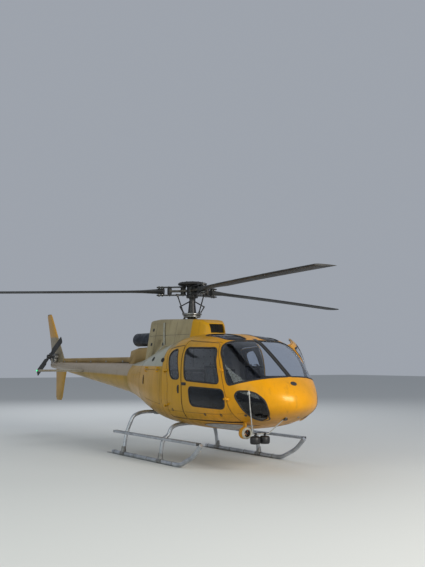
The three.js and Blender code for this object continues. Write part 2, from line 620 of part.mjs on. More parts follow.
// The outline of a plain cylinder to cut a hole with, as [radius, place along its axis]
const holeProfile = (radius, start, end) => [[0, start], [radius, start], [radius, end], [0, end]];
function turnedAlongY(profile, count, x, y, z) {
  const points = profile.map(([radius, along]) => new THREE.Vector2(radius, along));
  return solidOf(new THREE.LatheGeometry(points, count).translate(x, y, z));
}
const pipeProfile = holeProfile(exhaustHole.radius, exhaustHole.front, exhaustHole.rear);
const cowlHoles = [
  turnedAlongY(pipeProfile, exhaustHole.sides, 0, 0, exhaust.z),
  turned(holeProfile(mastHole.radius, mastHole.low, mastHole.high), mastHole.sides),
];
const [[cowlStart]] = cowlStations;
const cowlFront = block(-far, far, cowlStart + fit, far, -far, far);
piece('engine_cowl', cut(hood(cowlStations), cowlCavity, seat, ...cowlHoles).intersect(cowlFront), beige);
const mouth = block(
  -intakeMouth.halfWidth, intakeMouth.halfWidth, intakeMouth.front, intakeMouth.rear, intakeMouth.low,
  intakeMouth.high,
);
const intakeCavity = hood(intakeStations, hoodWall).translate([0, hoodWall, 0]);
piece('intake_fairing', cut(hood(intakeStations), intakeCavity, mouth, seat), yellow);
const engineBlock = join(
  block(-engine.halfWidth, engine.halfWidth, engine.front, engine.rear, enclosedBottom, engine.top),
  block(
    -gearbox.halfWidth, gearbox.halfWidth, gearbox.front, gearbox.rear + bite, enclosedBottom, gearbox.top,
  ),
);
piece('engine_and_gearbox', cut(engineBlock, seat), steel);
const pipe = turnedAlongY([
  [exhaust.radius - exhaust.wall, engine.rear + fit],
  [exhaust.radius, engine.rear + fit],
  [exhaust.radius, exhaust.end],
  [exhaust.radius - exhaust.wall, exhaust.end],
  [exhaust.radius - exhaust.wall, engine.rear + fit],
], exhaust.sides, 0, 0, exhaust.z);
piece('exhaust_pipe', pipe, burnt);

// Tail boom, shaft cover, stabiliser and fins
const foilRing = (place, chord, thickness) => foil.map(([c, t]) => place(c * chord, (t * thickness) / 2));
function bladeForm(rows, place) {
  return solidOf(skin(rows.map((row) => foilRing((c, t) => place(row, c, t), row.chord, row.thickness))));
}
const stabiliserRows = [-1, 0, 1].map((end) => ({
  x: end * stabiliser.halfSpan,
  chord: end === 0 ? stabiliser.chord : stabiliser.tipChord,
  thickness: stabiliser.thickness,
}));
const stabiliserForm = (extra) => bladeForm(
  stabiliserRows.map((row) => ({ ...row, chord: row.chord + 2 * extra, thickness: row.thickness + 2 * extra })),
  (row, c, t) => new THREE.Vector3(row.x, stabiliser.front - extra + c, stabiliser.z + t),
);
const finForm = (rows) => bladeForm(
  rows.map(([z, front, chord, thickness]) => ({ z, front, chord, thickness })),
  (row, c, t) => new THREE.Vector3(t, row.front + c, row.z),
);
const boomOuter = ovalLoft(boomStations, boomSides);
const hollowPart = block(-far, far, 0, boomHollowEnd, 0, far);
const boomInner = ovalLoft(boomStations, boomSides, boomWall).intersect(hollowPart);
const boom = cut(boomOuter, boomInner.translate([0, -1, 0]), stabiliserForm(2 * fit))
  .intersect(block(-far, far, boomStart + fit, far, 0, far));
piece('tail_boom', boom, yellow);
const boomSwell = ovalLoft(boomStations, boomSides, -fit);
const boomSeat = join(boomSwell, boomSwell.translate([0, fit, 0]));
piece('drive_shaft_cover', cut(hood(shaftCoverStations), boomSeat, seat, seat.translate([0, fit, 0])), yellow);
piece('stabiliser', stabiliserForm(0), yellow);
piece('upper_fin', cut(finForm(upperFin), boomSeat), yellow);
piece('lower_fin', cut(finForm(lowerFin), boomSeat), yellow);

// Tail gearbox and tail rotor
const gearcase = turnedAlongX(gearcaseProfile, tailRotor.sides, tailRotor.y, tailRotor.z);
function turnedAlongX(profile, count, y, z) {
  const points = profile.map(([radius, along]) => new THREE.Vector2(radius, along));
  return solidOf(new THREE.LatheGeometry(points, count).rotateZ(-Math.PI / 2).translate(0, y, z));
}
const [standFront, standRear] = [tailRotor.y - gearStand.halfLength, tailRotor.y + gearStand.halfLength];
const gearStandForm = block(
  gearStand.left, gearStand.right, standFront, standRear, gearStand.low, tailRotor.z,
);
const finClear = [finForm(upperFin), finForm(upperFin).translate([-fit, 0, 0])];
piece('tail_gearbox', cut(join(gearcase, gearStandForm), boomSeat, ...finClear), steel);

const tailBladeRows = tailBladeSections.map(([radius, chord, thickness]) => ({ radius, chord, thickness }));
const tailBlade = (turn) => {
  const form = skin(tailBladeRows.map((row) => foilRing(
    (c, t) => new THREE.Vector3(t, c - row.chord / 2, row.radius), row.chord, row.thickness,
  )));
  return solidOf(form.rotateX(THREE.MathUtils.degToRad(turn)));
};
const tailTurn = THREE.MathUtils.degToRad(90 + tailRotor.tilt);
const yokeBox = new THREE.BoxGeometry(tailYoke.thickness, tailYoke.width, tailYoke.length);
const tailSpin = join(
  tailBlade(90 + tailRotor.tilt).translate([tailRotor.x, 0, 0]),
  tailBlade(270 + tailRotor.tilt).translate([tailRotor.x, 0, 0]),
  turnedAlongX(tailHubProfile, tailRotor.sides, 0, 0),
  solidOf(yokeBox.rotateX(tailTurn).translate(tailRotor.x, 0, 0)),
);
piece('tail_rotor', tailSpin.translate([0, tailRotor.y, tailRotor.z]), black);

// Mast, swashplates, hub and blades
piece('rotor_mast', turned(mastProfile, rotor.sides), black);

function rodAt(angle, r0, z0, r1, z1, radius) {
  const turn = THREE.MathUtils.degToRad(angle);
  const point = (r, z) => new THREE.Vector3(r * Math.cos(turn), r * Math.sin(turn), z);
  return bar([point(r0, z0), point(r1, z1)], radius, 4, 1, true);
}
function plate({ radius, low, high }) {
  const profile = [[plateHole, low], [radius, low], [radius, high], [plateHole, high], [plateHole, low]];
  return turned(profile, rotor.sides);
}
const plateLegs = plateLeg.angles.map((angle) =>
  rodAt(angle, plateLeg.radial, plateLeg.low, plateLeg.radial, plateLeg.high, plateLeg.radius));
const cowlTop = hood(cowlStations).translate([0, 0, fit]);
piece('swashplate_fixed', cut(join(plate(fixedPlate), ...plateLegs), cowlTop), steel);

const along = (shape, angle) => solidOf(shape.rotateZ(THREE.MathUtils.degToRad(angle)));
function radialBox(angle, r0, r1, halfWidth, z0, z1) {
  const box = new THREE.BoxGeometry(r1 - r0, 2 * halfWidth, z1 - z0);
  return along(box.translate((r0 + r1) / 2, 0, (z0 + z1) / 2), angle);
}
const hubPieces = bladeAngles.flatMap((angle) => [
  radialBox(angle, grip.inner, grip.outer, grip.halfWidth, grip.high - grip.plate, grip.high),
  radialBox(angle, grip.inner, grip.outer, grip.halfWidth, grip.low, grip.low + grip.plate),
  radialBox(angle, grip.spacer, grip.root, grip.halfWidth, grip.low, grip.high),
  along(
    new THREE.BoxGeometry(pitchHorn.width, pitchHorn.length, grip.plate)
      .translate(pitchHorn.radial, pitchHorn.lateral, grip.low + grip.plate / 2),
    angle,
  ),
  radialBox(angle, starArm.inner, grip.spacer + bite, starArm.halfWidth, starArm.low, starArm.high),
  radialBox(angle, sleeve.inner, sleeve.outer, sleeve.halfWidth, grip.low, grip.high),
]);
const hub = join(turned(capProfile, capSides), ...hubPieces);
piece('rotor_hub', hub, black);
const pitchRods = bladeAngles.map((angle) => rodAt(
  angle + pitchRod.turn, pitchRod.lowRadial, pitchRod.lowZ, pitchRod.highRadial,
  grip.low + pitchRod.highAboveGrip, pitchRod.radius,
));
const rodsClear = hub.translate([0, 0, -fit]);
piece('swashplate_rotating', cut(join(plate(turningPlate), ...pitchRods), hub, rodsClear), steel);

const gripMiddle = (grip.low + grip.high) / 2;
const [[bendStart]] = bladeSections;
const bladeRows = [
  [grip.root + fit, bladeRootChord, grip.high - grip.low - 2 * grip.plate - 2 * fit],
  ...bladeSections,
].map(([radius, chord, thickness]) => ({ radius, chord, thickness }));
bladeAngles.forEach((angle, i) => {
  const droop = (radius) => {
    const share = Math.max(0, (radius - bendStart) / (rotor.radius - bendStart));
    return (bladeTips[i] - gripMiddle) * share ** bladeDroopPower;
  };
  const form = skin(bladeRows.map((row) => foilRing(
    (c, t) => new THREE.Vector3(row.radius, c - row.chord / 3, gripMiddle + droop(row.radius) + t),
    row.chord,
    row.thickness,
  )));
  piece('main_blade_' + (i + 1), along(form, angle), black);
});

// Landing gear
crossTubes.forEach(({ name }, i) => piece(name, crossTubeForms[i], silver));
sides.forEach(([side, mirrored]) => {
  const x = -skid.track / 2;
  const [[skidRear]] = skidLine;
  const route = skidLine.map(([y, rise]) => new THREE.Vector3(x, y, skid.radius + rise));
  const [stripFront, stripRear] = [skidRear - heel.overlap, skidRear + heel.length];
  const heelStrip = block(
    x - heel.halfWidth, x + heel.halfWidth, stripFront, stripRear, 0, heel.height,
  );
  const legs = crossTubeRecesses.flatMap(bothSides);
  const runner = join(bar(route, skid.radius, skid.halfSides, skid.steps), heelStrip);
  piece('skid_' + side, cut(runner, ...legs), silver, { mirrored });
  const rail = block(
    -step.x - step.width / 2, -step.x + step.width / 2, step.front, step.rear, step.z - step.height, step.z,
  );
  const brackets = crossTubes.map(({ y }) => block(
    -step.x, -stepBracket.inner, y - stepBracket.halfWidth, y + stepBracket.halfWidth, step.z - step.height,
    step.z - stepBracket.below,
  ));
  const skidClear = bar(route, skid.radius + fit, skid.halfSides, skid.steps);
  piece('step_' + side, cut(join(rail, ...brackets), ...legs, skidClear), silver, { mirrored });
});

// Load mirrors on struts below the nose, and a lamp beside them
const strutBars = (radius) =>
  strutRoutes.map((route) => bar(route.map(vector), radius, 4, route.length - 1, true));
piece('mirror_struts', cut(join(...strutBars(strutRadius)), seat), steel);
const mirrorHead = turned(mirrorHeadProfile, mirrorHeadSides);
const mirrorHeads = mirrorHeadPlaces.map((x) => mirrorHead.translate([x, mirrorBar.y, 0]));
const { left, right, halfWidth: bracketHalf, low: bracketLow } = mirrorBracket;
const bracketForm = block(
  left, right, mirrorBar.y - bracketHalf, mirrorBar.y + bracketHalf, bracketLow, mirrorBar.z,
);
piece('load_mirrors', cut(join(...mirrorHeads, bracketForm), ...strutBars(strutRadius + fit)), plastic);
const postForm = block(
  lamp.x - lampPost.halfWidth, lamp.x + lampPost.halfWidth, lampPost.front, lampPost.rear, lampPost.low,
  lampPost.high,
);
const lampForm = join(turnedAlongY(lampProfile, lamp.sides, lamp.x, lamp.y, lamp.z), postForm);
piece('landing_lamp', cut(lampForm, seat), yellow);

// Cabin interior, kept just inside the walls and above the floor
const room = bodyForm(wall + fit).intersect(block(-far, far, -far, bulkheadY - fit, floorTop + fit, far));
seatPlaces.forEach(([name, x]) => {
  piece(name, sidePrism(frontSeat, x - seatHalfWidth, x + seatHalfWidth).intersect(room), fabric);
});
piece('rear_bench', sidePrism(bench, -benchHalfWidth, benchHalfWidth).intersect(room), fabric);
const panel = join(
  block(-panelBox.halfWidth, panelBox.halfWidth, panelBox.front, panelBox.rear, panelBox.low, panelBox.high),
  block(-pedestal.halfWidth, pedestal.halfWidth, pedestal.front, pedestal.rear, floorTop, pedestal.high),
);
piece('instrument_panel', panel.intersect(room), plastic);

// Port front door stands open, turned about its hinge line
const group = new THREE.Group();
const openDoor = new THREE.Group();
const { point, axis } = hingeLines.frontDoor;
const hingePoint = vector(point).setX(-point[0]);
const hingeAxis = vector(axis).setX(-axis[0]).normalize().negate();
const portFront = doorMeshes[1];
const openTurn = new THREE.Quaternion().setFromAxisAngle(hingeAxis, THREE.MathUtils.degToRad(portDoorOpen));
openDoor.quaternion.copy(openTurn);
openDoor.position.copy(hingePoint).sub(hingePoint.clone().applyQuaternion(openTurn));
openDoor.add(...portFront);
group.add(...pieces.filter((mesh) => !portFront.includes(mesh)), openDoor);

// The origin is the middle of the underside of the whole helicopter
const extent = new THREE.Box3().setFromObject(group, true);
group.position.set(-(extent.min.x + extent.max.x) / 2, -(extent.min.y + extent.max.y) / 2, -extent.min.z);

export default group;
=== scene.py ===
# A light single-engine helicopter on skids: finishes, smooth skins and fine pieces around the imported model.
# Everything is in metres. Places are written from the rotor mast, with the nose towards -Y and starboard at -X.
import json
import math

import bmesh
import bpy
import numpy as np
from mathutils import Matrix, Vector
from mathutils.bvhtree import BVHTree
from mathutils.interpolate import poly_3d_calc

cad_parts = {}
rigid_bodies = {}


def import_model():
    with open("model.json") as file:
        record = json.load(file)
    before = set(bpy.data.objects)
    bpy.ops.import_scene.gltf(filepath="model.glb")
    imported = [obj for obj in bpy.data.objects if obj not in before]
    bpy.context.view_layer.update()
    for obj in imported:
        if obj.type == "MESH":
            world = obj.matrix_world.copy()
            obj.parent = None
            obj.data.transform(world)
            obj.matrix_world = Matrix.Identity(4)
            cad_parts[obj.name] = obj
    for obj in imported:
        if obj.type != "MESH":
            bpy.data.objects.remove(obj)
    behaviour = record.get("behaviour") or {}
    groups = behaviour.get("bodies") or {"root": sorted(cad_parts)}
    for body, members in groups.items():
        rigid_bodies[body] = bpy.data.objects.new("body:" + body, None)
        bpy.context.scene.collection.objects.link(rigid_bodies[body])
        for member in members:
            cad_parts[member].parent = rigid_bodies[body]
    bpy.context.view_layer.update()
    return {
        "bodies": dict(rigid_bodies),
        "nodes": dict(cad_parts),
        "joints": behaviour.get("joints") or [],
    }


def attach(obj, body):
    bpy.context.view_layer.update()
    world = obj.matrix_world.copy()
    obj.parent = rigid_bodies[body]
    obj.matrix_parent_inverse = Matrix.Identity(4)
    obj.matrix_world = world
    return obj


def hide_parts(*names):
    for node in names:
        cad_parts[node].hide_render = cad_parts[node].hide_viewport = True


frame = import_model()
joints = {joint["name"]: joint for joint in frame["joints"]}
mast = Vector(joints["main_rotor_spin"]["pos_m"])
mast.z = 0
sides = {"starboard": 1, "port": -1}


# Camera, floor and light
photo = {
    "height": 567, "focalPixels": 799.8, "sensor": 36.0,
    "eye": (-8.197, -13.231, 1.79), "heading": -33.239, "pitch": 5.58, "roll": 0.127,
}
stage = {"floor": (0.62, 0.63, 0.62), "sky": (0.74, 0.8, 0.9), "skyStrength": 0.46, "reach": 140}
lamps = [
    # name, place, energy, size, colour
    ("keyLight", (0.5, -19.0, 8.5), 2900, 7.0, (1.0, 0.95, 0.86)),
    ("fillLight", (-16.0, -5.0, 8.0), 650, 11.0, (0.92, 1.0, 0.88)),
    ("backLight", (6.0, 15.0, 12.0), 900, 9.0, (0.92, 0.95, 1.0)),
]


def makeCamera():
    data = bpy.data.cameras.new("camera")
    data.sensor_width = photo["sensor"]
    data.lens = photo["focalPixels"] / photo["height"] * photo["sensor"]
    data.clip_end = 500
    camera = bpy.data.objects.new("camera", data)
    bpy.context.scene.collection.objects.link(camera)
    turn = Matrix.Rotation(math.radians(photo["heading"]), 4, "Z")
    tip = Matrix.Rotation(math.radians(90 + photo["pitch"]), 4, "X")
    roll = Matrix.Rotation(math.radians(photo["roll"]), 4, "Z")
    camera.matrix_world = Matrix.Translation(Vector(photo["eye"]) + mast) @ turn @ tip @ roll
    bpy.context.scene.camera = camera


def makeStage():
    bpy.ops.mesh.primitive_plane_add(size=stage["reach"], location=(0, 0, 0))
    floor = bpy.context.object
    floor.name = "floor"
    paint = bpy.data.materials.new("paleFloor")
    paint.use_nodes = True
    surface = paint.node_tree.nodes["Principled BSDF"]
    surface.inputs["Base Color"].default_value = (*stage["floor"], 1)
    surface.inputs["Roughness"].default_value = 0.9
    surface.inputs["Specular IOR Level"].default_value = 0.0
    floor.data.materials.append(paint)
    world = bpy.data.worlds.new("softSky")
    world.use_nodes = True
    world.node_tree.nodes["Background"].inputs[0].default_value = (*stage["sky"], 1)
    world.node_tree.nodes["Background"].inputs[1].default_value = stage["skyStrength"]
    bpy.context.scene.world = world
    bpy.context.scene.view_settings.view_transform = "Standard"
    for name, place, energy, size, colour in lamps:
        data = bpy.data.lights.new(name, "AREA")
        data.energy, data.size, data.color = energy, size, colour
        lamp = bpy.data.objects.new(name, data)
        bpy.context.scene.collection.objects.link(lamp)
        lamp.visible_glossy = name != "backLight"  # no white glare on the roof windows
        lamp.location = Vector(place) + mast
        aim = mast + Vector((0, 0, 1.3)) - lamp.location
        lamp.rotation_euler = aim.to_track_quat("-Z", "Y").to_euler()


# Small helpers for node materials
def addNode(tree, kind, inputs=None, **settings):
    made = tree.nodes.new(kind)
    for key, value in settings.items():
        setattr(made, key, value)
    for key, value in (inputs or {}).items():
        if isinstance(value, bpy.types.NodeSocket):
            tree.links.new(value, made.inputs[key])
        else:
            made.inputs[key].default_value = value
    return made


def mixColour(tree, factor, first, second):
    mixer = addNode(tree, "ShaderNodeMix", data_type="RGBA")
    for index, value in ((0, factor), (6, first), (7, second)):
        if isinstance(value, bpy.types.NodeSocket):
            tree.links.new(value, mixer.inputs[index])
        else:
            mixer.inputs[index].default_value = value if index == 0 else (*value, 1)
    return mixer.outputs[2]


def mathNode(tree, operation, first, second=0.0, clamp=False):
    made = addNode(tree, "ShaderNodeMath", {0: first, 1: second}, operation=operation, use_clamp=clamp)
    return made.outputs[0]


def product(tree, first, second):
    return mathNode(tree, "MULTIPLY", first, second)


def fade(tree, value, low, high, lowResult=0.0, highResult=1.0):
    inputs = {"Value": value, "From Min": low, "From Max": high, "To Min": lowResult, "To Max": highResult}
    return addNode(tree, "ShaderNodeMapRange", inputs, interpolation_type="SMOOTHSTEP").outputs[0]


def noise(tree, where, scale, detail=4.0, roughness=0.55):
    inputs = {"Vector": where, "Scale": scale, "Detail": detail, "Roughness": roughness}
    return addNode(tree, "ShaderNodeTexNoise", inputs).outputs["Fac"]


def stretched(tree, where, scale):
    return addNode(tree, "ShaderNodeMapping", {"Vector": where, "Scale": scale}).outputs[0]


def newMaterial(name):
    material = bpy.data.materials.new(name)
    material.use_nodes = True
    tree = material.node_tree
    surface = tree.nodes["Principled BSDF"]
    objectPlace = addNode(tree, "ShaderNodeTexCoord").outputs["Object"]
    where = addNode(tree, "ShaderNodeMapping", {"Vector": objectPlace, "Location": tuple(-mast)}).outputs[0]
    axes = addNode(tree, "ShaderNodeSeparateXYZ", {0: where}).outputs
    return material, tree, surface, where, axes


def addBump(tree, surface, height, strength, distance):
    bump = addNode(tree, "ShaderNodeBump", {"Height": height, "Strength": strength, "Distance": distance})
    tree.links.new(bump.outputs[0], surface.inputs["Normal"])


# Painted skin: colour bands, sun-faded patches, dust low down, streaks and small chips
# mustard is the body's yellow darkened as painted shade towards the tail
skinPaint = {
    "yellow": (0.68, 0.29, 0.003), "deep": (0.46, 0.215, 0.003), "mustard": (0.5, 0.255, 0.004),
    "patch": (0.34, 0.345, 0.29), "band": (0.33, 0.27, 0.21), "tan": (0.27, 0.2, 0.085), "dust": (0.125, 0.08, 0.02),
    "primer": (0.12, 0.1, 0.08), "lining": (0.2, 0.205, 0.215), "roughness": 0.34, "coat": 0.2, "coatRoughness": 0.1,
    "streaks": 0.35, "grime": 0.55, "grimeTop": 1.2, "grimeFull": 0.62, "chips": 0.8,
}


def skinMaterial(name, base, region=None, dirt=1.0, fadeTo=None, gloss=1.0, tint=(1.0, 0.72, 0.3)):
    # region: rows of colour and mask laid over the base colour
    material, tree, surface, where, axes = newMaterial(name)
    cloudy = noise(tree, where, 1.6, 5)
    colour = mixColour(tree, fade(tree, cloudy, 0.35, 0.75), base, fadeTo or skinPaint["deep"])
    for patchColour, mask in region or []:
        colour = mixColour(tree, mask(tree, axes), colour, patchColour)
    streaks = noise(tree, stretched(tree, where, (9.0, 9.0, 0.8)), 1.4, 6, 0.65)
    streakMask = product(tree, fade(tree, streaks, 0.52, 0.78), skinPaint["streaks"] * dirt)
    colour = mixColour(tree, streakMask, colour, skinPaint["dust"])
    low = fade(tree, axes[2], skinPaint["grimeTop"], skinPaint["grimeFull"])
    grime = fade(tree, noise(tree, where, 7.0, 8, 0.7), 0.3, 0.75)
    lowMask = product(tree, product(tree, low, grime), skinPaint["grime"] * dirt)
    colour = mixColour(tree, lowMask, colour, skinPaint["dust"])
    chips = noise(tree, where, 60.0, 3, 0.5)
    chipMask = product(tree, fade(tree, chips, 0.735, 0.76), skinPaint["chips"] * min(dirt, 1))
    colour = mixColour(tree, chipMask, colour, skinPaint["primer"])
    lined = addNode(tree, "ShaderNodeAttribute", attribute_name="inner").outputs["Fac"]
    colour = mixColour(tree, lined, colour, skinPaint["lining"])
    tree.links.new(colour, surface.inputs["Base Color"])
    worn = mathNode(tree, "ADD", fade(tree, cloudy, 0.3, 0.8, 0.0, 0.16), product(tree, lowMask, 0.6))
    worn = mathNode(tree, "ADD", worn, product(tree, lined, 0.5))
    rough = mathNode(tree, "ADD", worn, skinPaint["roughness"] / gloss, clamp=True)
    tree.links.new(rough, surface.inputs["Roughness"])
    surface.inputs["Specular Tint"].default_value = (*tint, 1)
    surface.inputs["Coat Weight"].default_value = skinPaint["coat"] * min(gloss, dirt, 1)
    surface.inputs["Coat Roughness"].default_value = skinPaint["coatRoughness"]
    waves = product(tree, noise(tree, where, 3.5, 2), 0.9)
    peel = product(tree, noise(tree, where, 260.0, 2), 0.1)
    addBump(tree, surface, mathNode(tree, "ADD", waves, peel), 0.25, 0.004)
    return material


def above(level, softness=0.006):
    return lambda tree, axes: fade(tree, axes[2], level - softness, level + softness)


def aboveSlope(level, slope, softness=0.02):
    # The level is where the line would cross the mast, rising by the slope towards the tail
    def mask(tree, axes):
        height = mathNode(tree, "SUBTRACT", axes[2], product(tree, axes[1], slope))
        return fade(tree, height, level - softness, level + softness)
    return mask


def behind(place, softness=0.006):
    return lambda tree, axes: fade(tree, axes[1], place - softness, place + softness)


def ahead(place, softness=0.006):
    return lambda tree, axes: fade(tree, axes[1], place + softness, place - softness)


def middle(half, softness=0.003):
    return lambda tree, axes: fade(tree, mathNode(tree, "ABSOLUTE", axes[0]), half + softness, half - softness)


def both(first, second):
    return lambda tree, axes: product(tree, first(tree, axes), second(tree, axes))


# Plain finishes: name, light colour, dark colour, roughness, metal, grain scale, bump
finishRows = [
    ("hubBlack", (0.034, 0.033, 0.034), (0.01, 0.01, 0.012), 0.38, 0.2, 30.0, 0.15),
    ("starGlass", (0.06, 0.05, 0.036), (0.022, 0.018, 0.014), 0.4, 0.0, 16.0, 0.1),
    ("skidSilver", (0.62, 0.65, 0.7), (0.3, 0.32, 0.35), 0.33, 0.75, 5.0, 0.06),
    ("gearSteel", (0.4, 0.4, 0.39), (0.14, 0.135, 0.13), 0.33, 0.9, 18.0, 0.12),
    ("paleMetal", (0.58, 0.58, 0.56), (0.28, 0.28, 0.27), 0.36, 0.5, 18.0, 0.08),
    ("bladeSteel", (0.06, 0.058, 0.056), (0.024, 0.023, 0.023), 0.48, 0.6, 12.0, 0.04),
    ("shoeSteel", (0.1, 0.098, 0.094), (0.035, 0.033, 0.03), 0.5, 0.8, 25.0, 0.25),
    ("exhaustSteel", (0.032, 0.042, 0.062), (0.01, 0.012, 0.018), 0.42, 0.7, 9.0, 0.15),
    # Near black: the dial faces' own black and soot in the exhaust, and painted shade in the vent openings and behind
    # the intake screen
    ("sootBlack", (0.01, 0.01, 0.011), (0.004, 0.004, 0.004), 0.85, 0.0, 30.0, 0.2),
    ("rubberBlack", (0.016, 0.016, 0.017), (0.006, 0.006, 0.007), 0.55, 0.0, 40.0, 0.2),
    ("plasticDark", (0.032, 0.033, 0.036), (0.014, 0.014, 0.016), 0.55, 0.0, 90.0, 0.25),
    ("liningGrey", (0.24, 0.25, 0.26), (0.15, 0.155, 0.165), 0.8, 0.0, 120.0, 0.2),
    ("latchSteel", (0.5, 0.49, 0.46), (0.2, 0.195, 0.18), 0.32, 0.85, 60.0, 0.1),
    ("beltWeb", (0.045, 0.045, 0.05), (0.02, 0.02, 0.024), 0.85, 0.0, 300.0, 0.4),
    # Painted reflection of the floor, laid on the belly
    ("paintedReflectionGrey", (0.44, 0.44, 0.46), (0.28, 0.28, 0.29), 0.45, 0.1, 12.0, 0.1),
    ("paleBeige", (0.42, 0.4, 0.33), (0.27, 0.26, 0.21), 0.5, 0.0, 14.0, 0.08),
    ("drumBlack", (0.012, 0.012, 0.013), (0.005, 0.005, 0.006), 0.45, 0.0, 20.0, 0.1),
    ("lampAmber", (0.3, 0.12, 0.03), (0.07, 0.025, 0.01), 0.22, 0.8, 20.0, 0.05),
    ("meshGrey", (0.11, 0.11, 0.105), (0.04, 0.04, 0.04), 0.45, 0.8, 60.0, 0.15),
]
finishes = {
    name: {"light": light, "dark": dark, "rough": rough, "metal": metal, "grain": grain, "bump": bump}
    for name, light, dark, rough, metal, grain, bump in finishRows
}


def plainMaterial(name):
    values = finishes[name]
    material, tree, surface, where, _ = newMaterial(name)
    cloud = noise(tree, where, values["grain"], 6, 0.6)
    scratch = noise(tree, stretched(tree, where, (1.0, 12.0, 12.0)), values["grain"] * 3, 3)
    mottled = product(tree, mathNode(tree, "ADD", cloud, scratch), 0.5)
    colour = mixColour(tree, fade(tree, mottled, 0.36, 0.66), values["dark"], values["light"])
    tree.links.new(colour, surface.inputs["Base Color"])
    rough = fade(tree, cloud, 0.3, 0.7, values["rough"] + 0.12, values["rough"] - 0.06)
    tree.links.new(rough, surface.inputs["Roughness"])
    surface.inputs["Metallic"].default_value = values["metal"]
    addBump(tree, surface, mottled, values["bump"], 0.002)
    return material


glassValues = {"tint": (0.56, 0.61, 0.7), "roughness": 0.015, "ior": 1.45, "smear": 0.05}


def glassMaterial(name, tint, ior=glassValues["ior"]):
    material, tree, surface, where, _ = newMaterial(name)
    dust = fade(tree, noise(tree, where, 3.0, 6, 0.7), 0.45, 0.85)
    colour = mixColour(tree, product(tree, dust, 0.25), tint, (0.45, 0.46, 0.42))
    tree.links.new(colour, surface.inputs["Base Color"])
    low = glassValues["roughness"]
    tree.links.new(fade(tree, dust, 0.0, 1.0, low, low + glassValues["smear"]), surface.inputs["Roughness"])
    surface.inputs["Transmission Weight"].default_value = 1.0
    surface.inputs["IOR"].default_value = ior
    return material


def glowMaterial(name, colour, strength):
    material, tree, surface, where, _ = newMaterial(name)
    ripple = fade(tree, noise(tree, where, 90.0, 2), 0.3, 0.7)
    tree.links.new(mixColour(tree, ripple, colour, tuple(0.6 * c for c in colour)), surface.inputs["Base Color"])
    surface.inputs["Roughness"].default_value = 0.12
    surface.inputs["Emission Color"].default_value = (*colour, 1)
    surface.inputs["Emission Strength"].default_value = strength
    return material


def polishedMaterial(name):
    material, tree, surface, where, _ = newMaterial(name)
    film = fade(tree, noise(tree, where, 25.0, 5, 0.6), 0.4, 0.8)
    tree.links.new(mixColour(tree, film, (0.8, 0.81, 0.82), (0.5, 0.5, 0.48)), surface.inputs["Base Color"])
    tree.links.new(fade(tree, film, 0, 1, 0.04, 0.22), surface.inputs["Roughness"])
    surface.inputs["Metallic"].default_value = 1.0
    return material


def clothMaterial(name, colour, dark):
    material, tree, surface, where, _ = newMaterial(name)
    threads = {"Vector": where, "Scale": 190.0, "Distortion": 0.6}
    warp, weft = (addNode(tree, "ShaderNodeTexWave", threads, bands_direction=way).outputs["Fac"] for way in "XZ")
    weave = product(tree, warp, weft)
    worn = noise(tree, where, 9.0, 6, 0.6)
    factor = product(tree, mathNode(tree, "ADD", weave, worn), 0.6)
    tree.links.new(mixColour(tree, fade(tree, factor, 0.25, 0.75), dark, colour), surface.inputs["Base Color"])
    surface.inputs["Roughness"].default_value = 0.92
    surface.inputs["Sheen Weight"].default_value = 0.35
    surface.inputs["Sheen Roughness"].default_value = 0.5
    addBump(tree, surface, weave, 0.4, 0.0015)
    return material


plain = {name: plainMaterial(name) for name in finishes}
# The yellow darkens to mustard towards the tail behind y = -1.7: painted shade
tailwardShade = (skinPaint["mustard"], behind(-1.7, 0.75))
yellowSkin = skinMaterial("yellowSkin", skinPaint["yellow"], [tailwardShade])
# The baggage doors start from the mustard, so they carry the same painted shade
mustardSkin = skinMaterial("mustardSkin", skinPaint["mustard"], None, 1.4, (0.36, 0.2, 0.006))
lampSkin = skinMaterial("lampSkin", skinPaint["yellow"], None, 1.4)
roofEdge = both(behind(-0.68, 0.05), above(2.02, 0.04))
centrePost = both(middle(0.042), ahead(-2.02))
roofSkin = skinMaterial(
    "roofSkin", skinPaint["yellow"], [tailwardShade, (skinPaint["tan"], roofEdge), ((0.014, 0.014, 0.015), centrePost)]
)
# The rear fuselage starts from the mustard, so it carries the same painted shade
rearSkin = skinMaterial("rearSkin", skinPaint["mustard"], [(skinPaint["patch"], above(1.705))], 1.4, (0.36, 0.2, 0.006))
# The boom, the lower fin and the upper fin's yellow top are darker and duller than the nose's yellow: their paint with
# painted shade of the tail laid into it
boomSkin = skinMaterial(
    "boomSkin", (0.42, 0.235, 0.008), [(skinPaint["band"], aboveSlope(1.448, 0.02))], 1.5, (0.29, 0.18, 0.008)
)
coverSkin = skinMaterial("coverSkin", (0.34, 0.22, 0.075), None, 1.5, (0.25, 0.165, 0.07), 0.7)
cowlSkin = skinMaterial("cowlSkin", (0.37, 0.31, 0.19), None, 1.3, (0.27, 0.225, 0.14), 0.55)
finSkin = skinMaterial(
    "finSkin", (0.26, 0.215, 0.14), [((0.5, 0.26, 0.04), above(2.42, 0.03))], 1.6, (0.17, 0.145, 0.1)
)
tailSkin = skinMaterial("tailSkin", (0.48, 0.27, 0.05), None, 1.6, (0.34, 0.2, 0.05))
stabiliserSkin = skinMaterial("stabiliserSkin", (0.33, 0.29, 0.21), None, 1.6, (0.22, 0.19, 0.14))
bladeSkin = skinMaterial("bladeSkin", (0.019, 0.02, 0.02), None, 0.25, (0.01, 0.01, 0.011), 0.6, (1, 1, 1))
clearGlass = glassMaterial("clearGlass", glassValues["tint"])
darkGlass = glassMaterial("darkGlass", (0.11, 0.13, 0.18))
sideGlass = glassMaterial("sideGlass", (0.84, 0.88, 0.92))
roofGlass = glassMaterial("roofGlass", (0.07, 0.08, 0.13), 1.12)
lensGlass = glassMaterial("lensGlass", (0.85, 0.87, 0.88))
